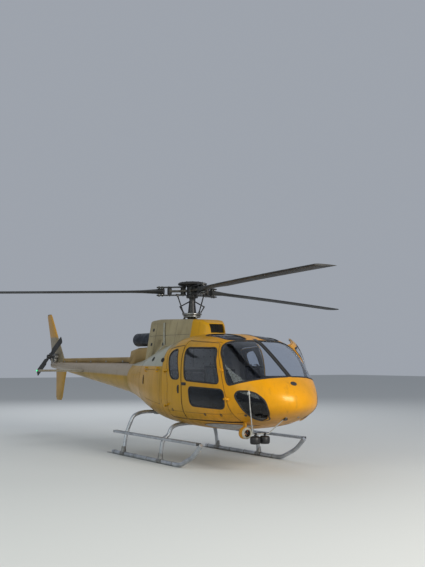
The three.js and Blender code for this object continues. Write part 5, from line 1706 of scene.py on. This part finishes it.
# Cowl: the seams, strip, latches, vents and the intake's screen
cowl = {
    # y, half width and z at the base, half width and z at the top
    "sections": [
        (-0.5, 0.425, 1.9, 0.3, 2.585), (0.2, 0.47, 1.8, 0.318, 2.612),
        (0.8, 0.455, 1.75, 0.305, 2.632), (1.17, 0.4, 1.75, 0.262, 2.622),
    ],
    "shoulder": 0.065, "latches": [(0.434, 2.131), (0.957, 2.422), (-0.3, 2.131), (0.957, 2.131)],
    "strips": [  # name, line, width, height
        ("cowlStrip", [(0.538, 2.555), (0.47, 2.33), (0.381, 2.11)], 0.05, 0.005),
        ("cowlLedge", [(0.77, 1.898), (0.424, 2.091)], 0.022, 0.005),
    ],
    "seams": [
        ("seam", [(-0.47, 2.3), (1.14, 2.3)], 0.005, 0.001),
        ("seam", [(0.492, 2.555), (0.424, 2.33), (0.335, 2.11)], 0.012, 0.002),
        ("seam", [(0.02, 2.08), (0.02, 2.54)], 0.005, 0.001), ("seam", [(0.8, 1.93), (0.8, 2.55)], 0.005, 0.001),
        ("seam", [(-0.47, 2.075), (0.36, 2.075)], 0.006, 0.001),
    ],
    "screws": [
        [(0, -0.45, 2.33), (0, 1.12, 2.33)], [(0, -0.45, 2.27), (0, 1.12, 2.27)], [(0, -0.45, 2.52), (0, 1.1, 2.535)],
    ],
}


def onCowl(y, z):
    # The starboard flank of the cowl at a height
    rows = cowl["sections"]
    for low, high in zip(rows, rows[1:]):
        if low[0] <= y <= high[0]:
            share = (y - low[0]) / (high[0] - low[0])
            _, halfBase, zBase, halfTop, zTop = [a + (b - a) * share for a, b in zip(low, high)]
            climb = zTop - cowl["shoulder"] - zBase
            half = halfBase + (halfTop - halfBase) * (z - zBase) / climb
            return Vector((-half, y, z)), Vector((-1, 0.0, (halfBase - halfTop) / climb)).normalized()
    return None, None


def laidOnCowl(points, spacing):
    found = [onCowl(p.y, p.z) for p in evenly(points, spacing)]
    return [pair for pair in found if pair[0] is not None]


def cowlBand(name, line, width, height):
    half = width / 2
    flank = [(half, -0.003), (half, height * 0.6), (half * 0.8, height)]
    section = [(-half, -0.003), *flank, (-half * 0.8, height), (-half, height * 0.6)]
    return bandPiece(name, *zip(*laidOnCowl([(0, u, v) for u, v in line], 0.05)), section)


def makeCowlPieces():
    fitPair("cowlStrips", [cowlBand(*row) for row in cowl["strips"]], "beige_paint", "paleBeige")
    fitPair("cowlSeams", [cowlBand(*row) for row in cowl["seams"]], "dark_plastic", "rubberBlack")
    base = platePiece("base", roundedBox((-0.034, -0.03), (0.034, 0.03), 0.012), -0.002, 0.003, 0.0008)
    clip = platePiece("clip", rounded([
        (-0.024, -0.009, 0.006), (0.018, -0.009, 0.006), (0.024, 0, 0.005), (0.018, 0.009, 0.006),
        (-0.024, 0.009, 0.006),
    ]), 0.003, 0.008, 0.0015)
    latches = copiesAt(joinPieces("cowlLatch", [base, clip]), [stand(*onCowl(y, z)) for y, z in cowl["latches"]])
    fitPair("cowlLatches", latches, "dark_plastic", "drumBlack")
    lip = boxPiece("louvre", (0, 0, 0.003), (0.066, 0.012, 0.008), 0.003, 2)
    slots = copiesAt(lip, [stand(*onCowl(y, 2.2 - 0.026 * row)) for row in range(5) for y in (0.58, 0.66)])
    fitPair("cowlLouvres", slots, "beige_paint", cowlSkin)
    screws = [pair for line in cowl["screws"] for pair in laidOnCowl(line, 0.085)]
    fitTwin(dots("cowlScrews", screws, 0.005, 0.0016, 8), "bare_steel", "gearSteel")
    makeIntakeScreen()
    makeExhaust()


def makeIntakeScreen():
    # Woven wire across the intake's mouth, in a frame
    half, low, high = 0.155, 2.318, 2.486
    columns = [-half + 2 * half * i / 20 for i in range(1, 20)]
    rows = [low + (high - low) * i / 11 for i in range(1, 11)]
    lines = [((x, low), (x, high)) for x in columns] + [((-half, z), (half, z)) for z in rows]
    wires = [tubePiece("wire", [(x, 0.09 * (z - 2.4) - 0.842, z) for x, z in line], 0.0014, 3) for line in lines]
    fitSet("intakeScreen", wires, "bare_steel", "meshGrey")
    # A near-black plate behind the screen is painted shade for the dark inside of the intake
    back = boxPiece("intakeShadePlate", (0, -0.6, 2.4), (0.44, 0.012, 0.26), 0.004)
    fitOne(back, "dark_plastic", "sootBlack")


def makeExhaust():
    # The pipe with a rolled lip, a clamp ring and a sooty inside
    pipe = turnedPiece("exhaustPipe", [
        (0.12, 1.0505), (0.1278, 1.0505), (0.1278, 1.25), (0.131, 1.27), (0.139, 1.29), (0.14, 1.31), (0.14, 2.16),
        (0.137, 2.172), (0.1415, 2.184), (0.14, 2.1945), (0.131, 2.1945), (0.129, 2.18), (0.129, 1.31), (0.12, 1.27),
        (0.12, 1.0505),
    ], (0, 0, 2.25), (0, 1, 0), 72, 30)
    ring = turnedPiece("clampBand", [
        (0.1396, -0.014), (0.1455, -0.014), (0.1465, -0.008), (0.1465, 0.008), (0.1455, 0.014), (0.1396, 0.014),
        (0.1396, -0.014),
    ], (0, 1.46, 2.25), (0, 1, 0), 64)
    fitSet("exhaust", [pipe, ring], "burnt_steel", "exhaustSteel", node="exhaust_pipe")
    inside = [(0, 1.36), (0.1283, 1.36), (0.1283, 2.17), (0.1268, 2.17), (0.1268, 1.365), (0, 1.365)]
    fitOne(turnedPiece("exhaustSoot", inside, (0, 0, 2.25), (0, 1, 0), 48), "burnt_steel", "sootBlack")


# The dark line where the shaft's cover meets the boom, and the cover's clips
coverLine = [(-0.096, 2.47, 1.765), (-0.092, 3.423, 1.748), (-0.08, 5.505, 1.742), (-0.078, 6.16, 1.741)]


def makeCoverPieces():
    fitTwin(tubePiece("coverSeal", curveThrough(coverLine, 10), 0.006, 6), "dark_plastic", "rubberBlack")
    clip = boxPiece("coverClip", (0, 0, 0.003), (0.05, 0.026, 0.008), 0.003)
    hook = boxPiece("coverHook", (0, -0.016, 0.007), (0.02, 0.02, 0.006), 0.002, 2)
    shares = [(y, (y - 2.45) / 3.75) for y in (2.75, 3.6, 4.45, 5.3, 6.05)]
    moves = [stand((0.022 * share - 0.0965, y, 1.795 - 0.008 * share), (-1, 0, 0.25)) for y, share in shares]
    fitPair("coverClips", copiesAt(joinPieces("clip", [clip, hook]), moves), "bare_steel", "latchSteel")


makeCowlPieces()
makeCoverPieces()
print("cowl pieces made")


# Cabin: seats with simulated cushions, belts, panel, controls and lining
cabin = {
    "seatX": (-0.42, 0.42), "benchX": (-0.54, -0.18, 0.18, 0.54),
    "frontBase": (0.205, 0.215, 0.04), "frontBack": (0.2, 0.27, 0.034),
    "benchBase": (0.16, 0.205, 0.038), "benchBack": (0.16, 0.215, 0.03),
    "frames": 20, "voxel": 0.006, "mostMove": 0.022, "mostFaces": 14000,
    "pedalTip": -0.384,
}
clothSettings = {
    "quality": 4, "mass": 0.25, "tension_stiffness": 18, "compression_stiffness": 18, "shear_stiffness": 8,
    "bending_stiffness": 1.2, "use_pressure": True, "uniform_pressure_force": 4.0,
}


def cushionBlank(name, halfWidth, halfLength, halfHeight, corner=0.05):
    # A rounded slab lying on Z = 0, with a crowned middle and sides drawn in between the corners
    outline = roundedBox((-halfWidth, -halfLength), (halfWidth, halfLength), corner)
    rings = []
    for share, height in ((0.9, -1.0), (0.985, -0.75), (1.0, 0.0), (0.985, 0.75), (0.88, 1.0)):
        level = []
        for u, v in outline:
            pull = 1 - 0.0175 * (1 - abs(abs(u) / halfWidth - abs(v) / halfLength))
            level.append(Vector((u * share * pull, v * share * pull, height * halfHeight)))
        rings.append(level)
    return loftPiece(name, rings, 60)


def swell(piece):
    # The pad is blown up by cloth under pressure, and each point's way is capped
    scene = bpy.context.scene
    modify(piece, "REMESH", mode="VOXEL", voxel_size=cabin["voxel"])
    start = [vertex.co.copy() for vertex in piece.data.vertices]
    choose(piece)
    cloth = piece.modifiers.new("swelling", "CLOTH")
    for key, value in clothSettings.items():
        setattr(cloth.settings, key, value)
    cloth.settings.effector_weights.gravity = 0
    cloth.collision_settings.use_collision = False
    cloth.point_cache.frame_start, cloth.point_cache.frame_end = 1, cabin["frames"]
    for step in range(1, cabin["frames"] + 1):
        scene.frame_set(step)
    choose(piece)
    bpy.ops.object.modifier_apply(modifier=cloth.name)
    scene.frame_set(1)
    for vertex, before in zip(piece.data.vertices, start):
        way = vertex.co - before
        if way.length > cabin["mostMove"]:
            vertex.co = before + way * (cabin["mostMove"] / way.length)
    modify(piece, "SMOOTH", factor=0.5, iterations=4)
    return smoothShade(piece, 80)


def pressSeams(piece, lines, depth=0.007, width=0.012):
    # Sewn channels across the top: lines are ("x" or "y", place)
    for vertex in piece.data.vertices:
        if vertex.co.z <= 0:
            continue
        for axis, place in lines:
            away = abs((vertex.co.x if axis == "x" else vertex.co.y) - place)
            vertex.co.z -= depth * math.exp(-((away / width) ** 2))
    return piece


def makePad(name, values, lines):
    # One simulated pad with its piping, lying at the origin
    pad = swell(cushionBlank(name, *values))
    modify(pad, "SUBSURF", levels=1, render_levels=1)
    pressSeams(pad, lines)
    if len(pad.data.polygons) > cabin["mostFaces"]:
        modify(pad, "DECIMATE", ratio=cabin["mostFaces"] / len(pad.data.polygons))
        smoothShade(pad, 80)
    wide, long = [max(abs(v.co[axis]) for v in pad.data.vertices) - 0.003 for axis in (0, 1)]
    route = [(u, v, values[2] * 0.55) for u, v in roundedBox((-wide, -long), (wide, long), 0.05)]
    return pad, tubePiece("piping", route, 0.0045, 6, True)


def placeCushion(name, pad, piping, place):
    cushion, edge = copyPiece(pad, place), copyPiece(piping, place)
    cushion.name, edge.name = name, name + "Piping"
    fitOne(cushion, "seat_fabric", seatCloth)
    fitOne(edge, "seat_fabric", "beltWeb")


def seatShell(side, x):
    # A moulded pan with rolled edges on a box frame
    profile = [
        (-2.055, 1.085), (-2.06, 1.105), (-1.96, 1.1), (-1.7, 1.09), (-1.575, 1.1), (-1.545, 1.16), (-1.48, 1.38),
        (-1.385, 1.69), (-1.37, 1.715)
    ]
    line = curveThrough([(0, u, v) for u, v in profile], 4)
    rows = []
    for i, p in enumerate(line):
        share = i / (len(line) - 1)
        half = 0.226 if share < 0.5 else 0.226 - 0.03 * (share - 0.5) * 2
        row = []
        for u in np.linspace(-1, 1, 13):
            lift = 0.045 * max(0, abs(u) - 0.72) / 0.28
            back = Vector((0, -lift * min(1, max(0, share - 0.45) * 6), lift * min(1, max(0, 0.62 - share) * 6)))
            row.append(Vector((x + half * u, p.y, p.z)) + back)
        rows.append(row)
    count = len(rows[0])
    points = [p for row in rows for p in row]
    faces = [
        (r * count + k, r * count + k + 1, (r + 1) * count + k + 1, (r + 1) * count + k) for r in range(len(rows) - 1)
        for k in range(count - 1)
    ]
    pan = meshPiece("seatPan", points, faces)
    modify(pan, "SOLIDIFY", thickness=0.005, offset=0)
    smoothShade(pan, 40)
    frameParts = [boxPiece("seatBox", (x, -1.775, 0.905), (0.36, 0.4, 0.225), 0.018)]
    for spread in (-0.15, 0.15):
        frameParts.append(boxPiece("seatRail", (x + spread, -1.775, 0.8), (0.03, 0.42, 0.018), 0.003, 2))
    for spread in (-0.14, 0.14):
        frameParts.append(tubePiece("seatLeg", [(x + spread, -1.94, 1.01), (x + spread, -1.99, 1.098)], 0.011, 10))
        frameParts.append(tubePiece("seatLeg", [(x + spread, -1.62, 1.01), (x + spread, -1.6, 1.092)], 0.011, 10))
    return joinPieces(f"seatFrame_{side}", [pan, *frameParts])


def bentStrap(name, points, width=0.046, thick=0.0022, across=(1, 0, 0)):
    line = curveThrough(points, 6)
    ups = []
    for i in range(len(line)):
        along = line[min(i + 1, len(line) - 1)] - line[max(i - 1, 0)]
        ups.append(Vector(across).cross(along).normalized())
    half, t = width / 2, thick / 2
    return bandPiece(name, line, ups, [(-half, -t), (half, -t), (half, t), (-half, t)])


def makeBelt(x, y, z, half):
    # The two halves of a lap belt lying on the cushion, and its buckle
    straps = []
    for sign, inner in ((-1, -0.06), (1, 0.03)):
        line = [
            (x + sign * half, y + 0.16, z - 0.06), (x + sign * half * 0.92, y + 0.1, z + 0.03),
            (x + inner, y + 0.03, z + 0.04),
        ]
        straps.append(bentStrap("lapBelt", line, across=(-0.2 * sign, 1, 0)))
    buckle = boxPiece("buckle", (x - 0.015, y + 0.03, z + 0.043), (0.072, 0.05, 0.014))
    tongue = boxPiece("tongue", (x + 0.035, y + 0.03, z + 0.042), (0.045, 0.04, 0.004), 0.0015, 2)
    return straps, joinPieces("buckle", [buckle, tongue])


shoulderLine = [(0.8, -1.395, 1.735), (1, -1.452, 1.742), (1, -1.515, 1.64), (0.95, -1.575, 1.43), (0.8, -1.625, 1.29)]


def makeSeats():
    base, basePiping = makePad("frontBasePad", cabin["frontBase"], [("y", -0.08), ("y", 0.06), ("x", -0.1), ("x", 0.1)])
    back, backPiping = makePad("frontBackPad", cabin["frontBack"], [("y", -0.13), ("y", 0.0), ("y", 0.13)])
    for side, x in zip(sides, cabin["seatX"]):
        fitOne(seatShell(side, x), "dark_plastic", "plasticDark", node=f"seat_{side}")
        placeCushion(f"seatCushion_{side}", base, basePiping, at((x, -1.815, 1.15), -1.5))
        placeCushion(f"backCushion_{side}", back, backPiping, at((x, -1.512, 1.44), 73))
        straps, buckle = makeBelt(x, -1.86, 1.19, 0.205)
        for spread in (-0.07, 0.07):
            line = [(x + spread * share, y, z) for share, y, z in shoulderLine]
            straps.append(bentStrap("shoulderBelt", line))
        fitSet(f"seatBelt_{side}", straps, "seat_fabric", "beltWeb")
        buckle.name = f"seatBuckle_{side}"
        fitOne(buckle, "bare_steel", "latchSteel")
    for piece in (base, basePiping, back, backPiping):
        bpy.data.objects.remove(piece)


def makeBench():
    base, basePiping = makePad("benchBasePad", cabin["benchBase"], [("y", -0.05), ("y", 0.09)])
    back, backPiping = makePad("benchBackPad", cabin["benchBack"], [("y", -0.07), ("y", 0.07)])
    frameParts = [
        boxPiece("benchBox", (0, -0.7, 0.945), (1.4, 0.56, 0.29), 0.016, 3),
        boxPiece("benchBackBoard", (0, -0.428, 1.375), (1.42, 0.024, 0.54), 0.008, 2),
        tubePiece(
            "benchTube",
            curveThrough([(-0.7, -0.985, 1.08), (-0.55, -0.99, 1.085), (0.55, -0.99, 1.085), (0.7, -0.985, 1.08)]),
            0.012, 10
        ),
    ]
    for x in (-0.36, 0.0, 0.36):
        frameParts.append(boxPiece("benchRib", (x, -0.984, 0.94), (0.012, 0.01, 0.26), 0.003, 2))
    fitSet("benchFrame", frameParts, "dark_plastic", "plasticDark", node="rear_bench")
    for index, x in enumerate(cabin["benchX"], 1):
        placeCushion(f"benchCushion{index}", base, basePiping, at((x, -0.76, 1.128), -1.0))
        placeCushion(f"benchBack{index}", back, backPiping, at((x, -0.492, 1.4), 84))
        straps, buckle = makeBelt(x, -0.8, 1.166, 0.15)
        fitSet(f"benchBelt{index}", straps, "seat_fabric", "beltWeb")
        buckle.name = f"benchBuckle{index}"
        fitOne(buckle, "bare_steel", "latchSteel")
    for piece in (base, basePiping, back, backPiping):
        bpy.data.objects.remove(piece)


def makePanel():
    # A glare shield over a panel of blank round dials, with its pedestal
    face = -2.582
    body = boxPiece("panelBody", (0, -2.64, 1.39), (0.6, 0.11, 0.3), 0.016, 4)
    pedestal = boxPiece("pedestal", (0, -2.52, 1.015), (0.236, 0.42, 0.446), 0.02, 4)
    outline = rounded([(-0.306, -2.696, 0.02), (0.306, -2.696, 0.02), (0.306, -2.574, 0.03), (-0.306, -2.574, 0.03)])
    top = platePiece("glareShield", outline, 1.535, 1.556, 0.006, 3)
    fitSet("instrumentPanel", [body, pedestal, top], "dark_plastic", "plasticDark", node="instrument_panel")
    rims, faces, hands, ticks = [], [], [], []
    layout = [(x, z, 0.04) for z in (1.455, 1.355) for x in (-0.2, -0.1, 0.0, 0.1, 0.2)]
    layout[-1] = (0.2, 1.355, 0.028)
    layout += [(x, 1.28, 0.024) for x in (-0.22, -0.15, 0.15, 0.22)]
    edge = [(0, 0), (0.006, 0), (0.006, 0.005), (0.003, 0.008), (0, 0.005), (0, 0)]
    for x, z, radius in layout:
        place = (x, face - 0.003, z)
        rims.append(turnedPiece("rim", [(radius + u, v) for u, v in edge], place, (0, 1, 0), 28))
        disc = [(0, -0.002), (radius, -0.002), (radius, 0.0005), (0, 0.0005)]
        faces.append(turnedPiece("face", disc, place, (0, 1, 0), 28))
        angle = (x * 31 + z * 17) % 1 * 4.4 - 2.2
        tip = Vector((x + radius * 0.75 * math.sin(angle), face, z + radius * 0.75 * math.cos(angle)))
        hands.append(tubePiece("hand", [(x, face, z), tip], 0.0014, 5))
        for step in range(11):
            a = -2.3 + 4.6 * step / 10
            spot = Vector((x + radius * 0.85 * math.sin(a), face - 0.0025, z + radius * 0.85 * math.cos(a)))
            ticks.append((spot, Vector((0, 1, 0))))
    for x in (-0.055, 0.055):
        for z in (1.215, 1.175, 1.135, 1.095):
            rims.append(boxPiece("switchRow", (x, -2.306, z), (0.09, 0.01, 0.026), 0.003, 2))
    for x in np.linspace(-0.09, 0.09, 7):
        for z in (1.215, 1.175, 1.135):
            hands.append(
                turnedPiece("knob", [(0, 0), (0.006, 0), (0.005, 0.01), (0, 0.011)], (x, -2.301, z), (0, 1, 0), 12)
            )
    fitSet("dialRims", rims, "dark_plastic", "hubBlack")
    fitSet("dialFaces", faces, "dark_plastic", "sootBlack")
    hands.append(dots("ticks", ticks, 0.0016, 0.0008, 5))
    fitSet("dialHands", hands, "silver_paint", "paleMetal")


def bentTube(name, x, line, steps, radius, facets):
    return tubePiece(name, curveThrough([(x, y, z) for y, z in line], steps), radius, facets)


def makeControls():
    # Cyclic sticks, collective levers and pedals at both front seats
    dark, bright, grips = [], [], []
    stick = [(-2.15, 0.8), (-2.165, 0.95), (-2.12, 1.1), (-2.105, 1.25), (-2.15, 1.36)]
    grip = [(-2.135, 1.335), (-2.155, 1.375), (-2.165, 1.425), (-2.175, 1.465)]
    arm = [(-2.64, 0.9), (-2.66, 0.97), (-2.64, 1.04)]
    boot = [(0, 0.062), (0.018, 0.06), (0.026, 0.046), (0.04, 0.03), (0.052, 0.012), (0.06, 0), (0, 0)]
    for x in cabin["seatX"]:
        leverX = x - 0.262
        bright.append(bentTube("stick", x, stick, 6, 0.011, 12))
        grips.append(bentTube("grip", x, grip, 5, 0.018, 12))
        dark.append(turnedPiece("boot", boot, (x, -2.15, 0.792), steps=28))
        bright.append(tubePiece("lever", [(leverX, -1.56, 0.9), (leverX, -1.95, 1.1)], 0.011, 12))
        grips.append(tubePiece("leverGrip", [(leverX, -1.9, 1.075), (leverX, -2.02, 1.136)], 0.019, 12))
        for spread in (-0.095, 0.095):
            bright.append(bentTube("pedalArm", x + spread, arm, 4, 0.009, 10))
            turn = (cabin["pedalTip"], 0, 0)
            dark.append(boxPiece("pedal", (x + spread, -2.636, 1.045), (0.085, 0.022, 0.09), 0.006, 3, turn))
    fitSet("pedals", dark, "dark_plastic", "plasticDark")
    fitSet("controlRods", bright, "silver_paint", "gearSteel")
    fitSet("controlGrips", grips, "dark_plastic", "rubberBlack")


def makeLining():
    # Floor covering with ribs, and quilted grey panels on the rear wall above the bench
    outline = rounded([(-0.66, -2.34, 0.1), (0.66, -2.34, 0.1), (0.73, -1.02, 0.06), (-0.73, -1.02, 0.06)])
    mat = platePiece("floorMat", outline, 0.7905, 0.7965, 0.002)
    ribs = [boxPiece("matRib", (x, -1.69, 0.7972), (0.006, 1.28, 0.0026), 0.001, 1) for x in np.linspace(-0.6, 0.6, 21)]
    fitSet("floorMat", [mat, *ribs], "dark_plastic", "rubberBlack")
    panels = [
        boxPiece("wallPanel", (x, -0.42, 1.68 + height / 2), (width, 0.022, height), 0.009)
        for x, width, height in ((-0.455, 0.41, 0.4), (0, 0.44, 0.42), (0.455, 0.41, 0.4))
    ]
    fitSet("wallPanels", panels, "dark_plastic", "liningGrey")
    buttons = [
        (Vector((x, -0.431, z)), Vector((0, -1, 0))) for x in np.linspace(-0.6, 0.6, 9) for z in (1.76, 1.88, 2.0)
    ]
    fitOne(dots("wallButtons", buttons, 0.01, 0.003, 10), "dark_plastic", "plasticDark")


makeSeats()
makeBench()
print("seats and bench made")
makePanel()
makeControls()
makeLining()
print("panel, controls and lining made")


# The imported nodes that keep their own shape, or a smoothed copy of it
engine = frame["nodes"]["engine_and_gearbox"].data
engine.materials.clear()
engine.materials.append(plain["gearSteel"])
for node, slotName, material in (
    ("engine_cowl", "beige_paint", cowlSkin), ("intake_fairing", "yellow_paint", yellowSkin),
    ("drive_shaft_cover", "yellow_paint", coverSkin),
):
    fitOne(nodeCopy(node), slotName, material, node=node)
print("packed nodes finished")

makeStage()
makeCamera()
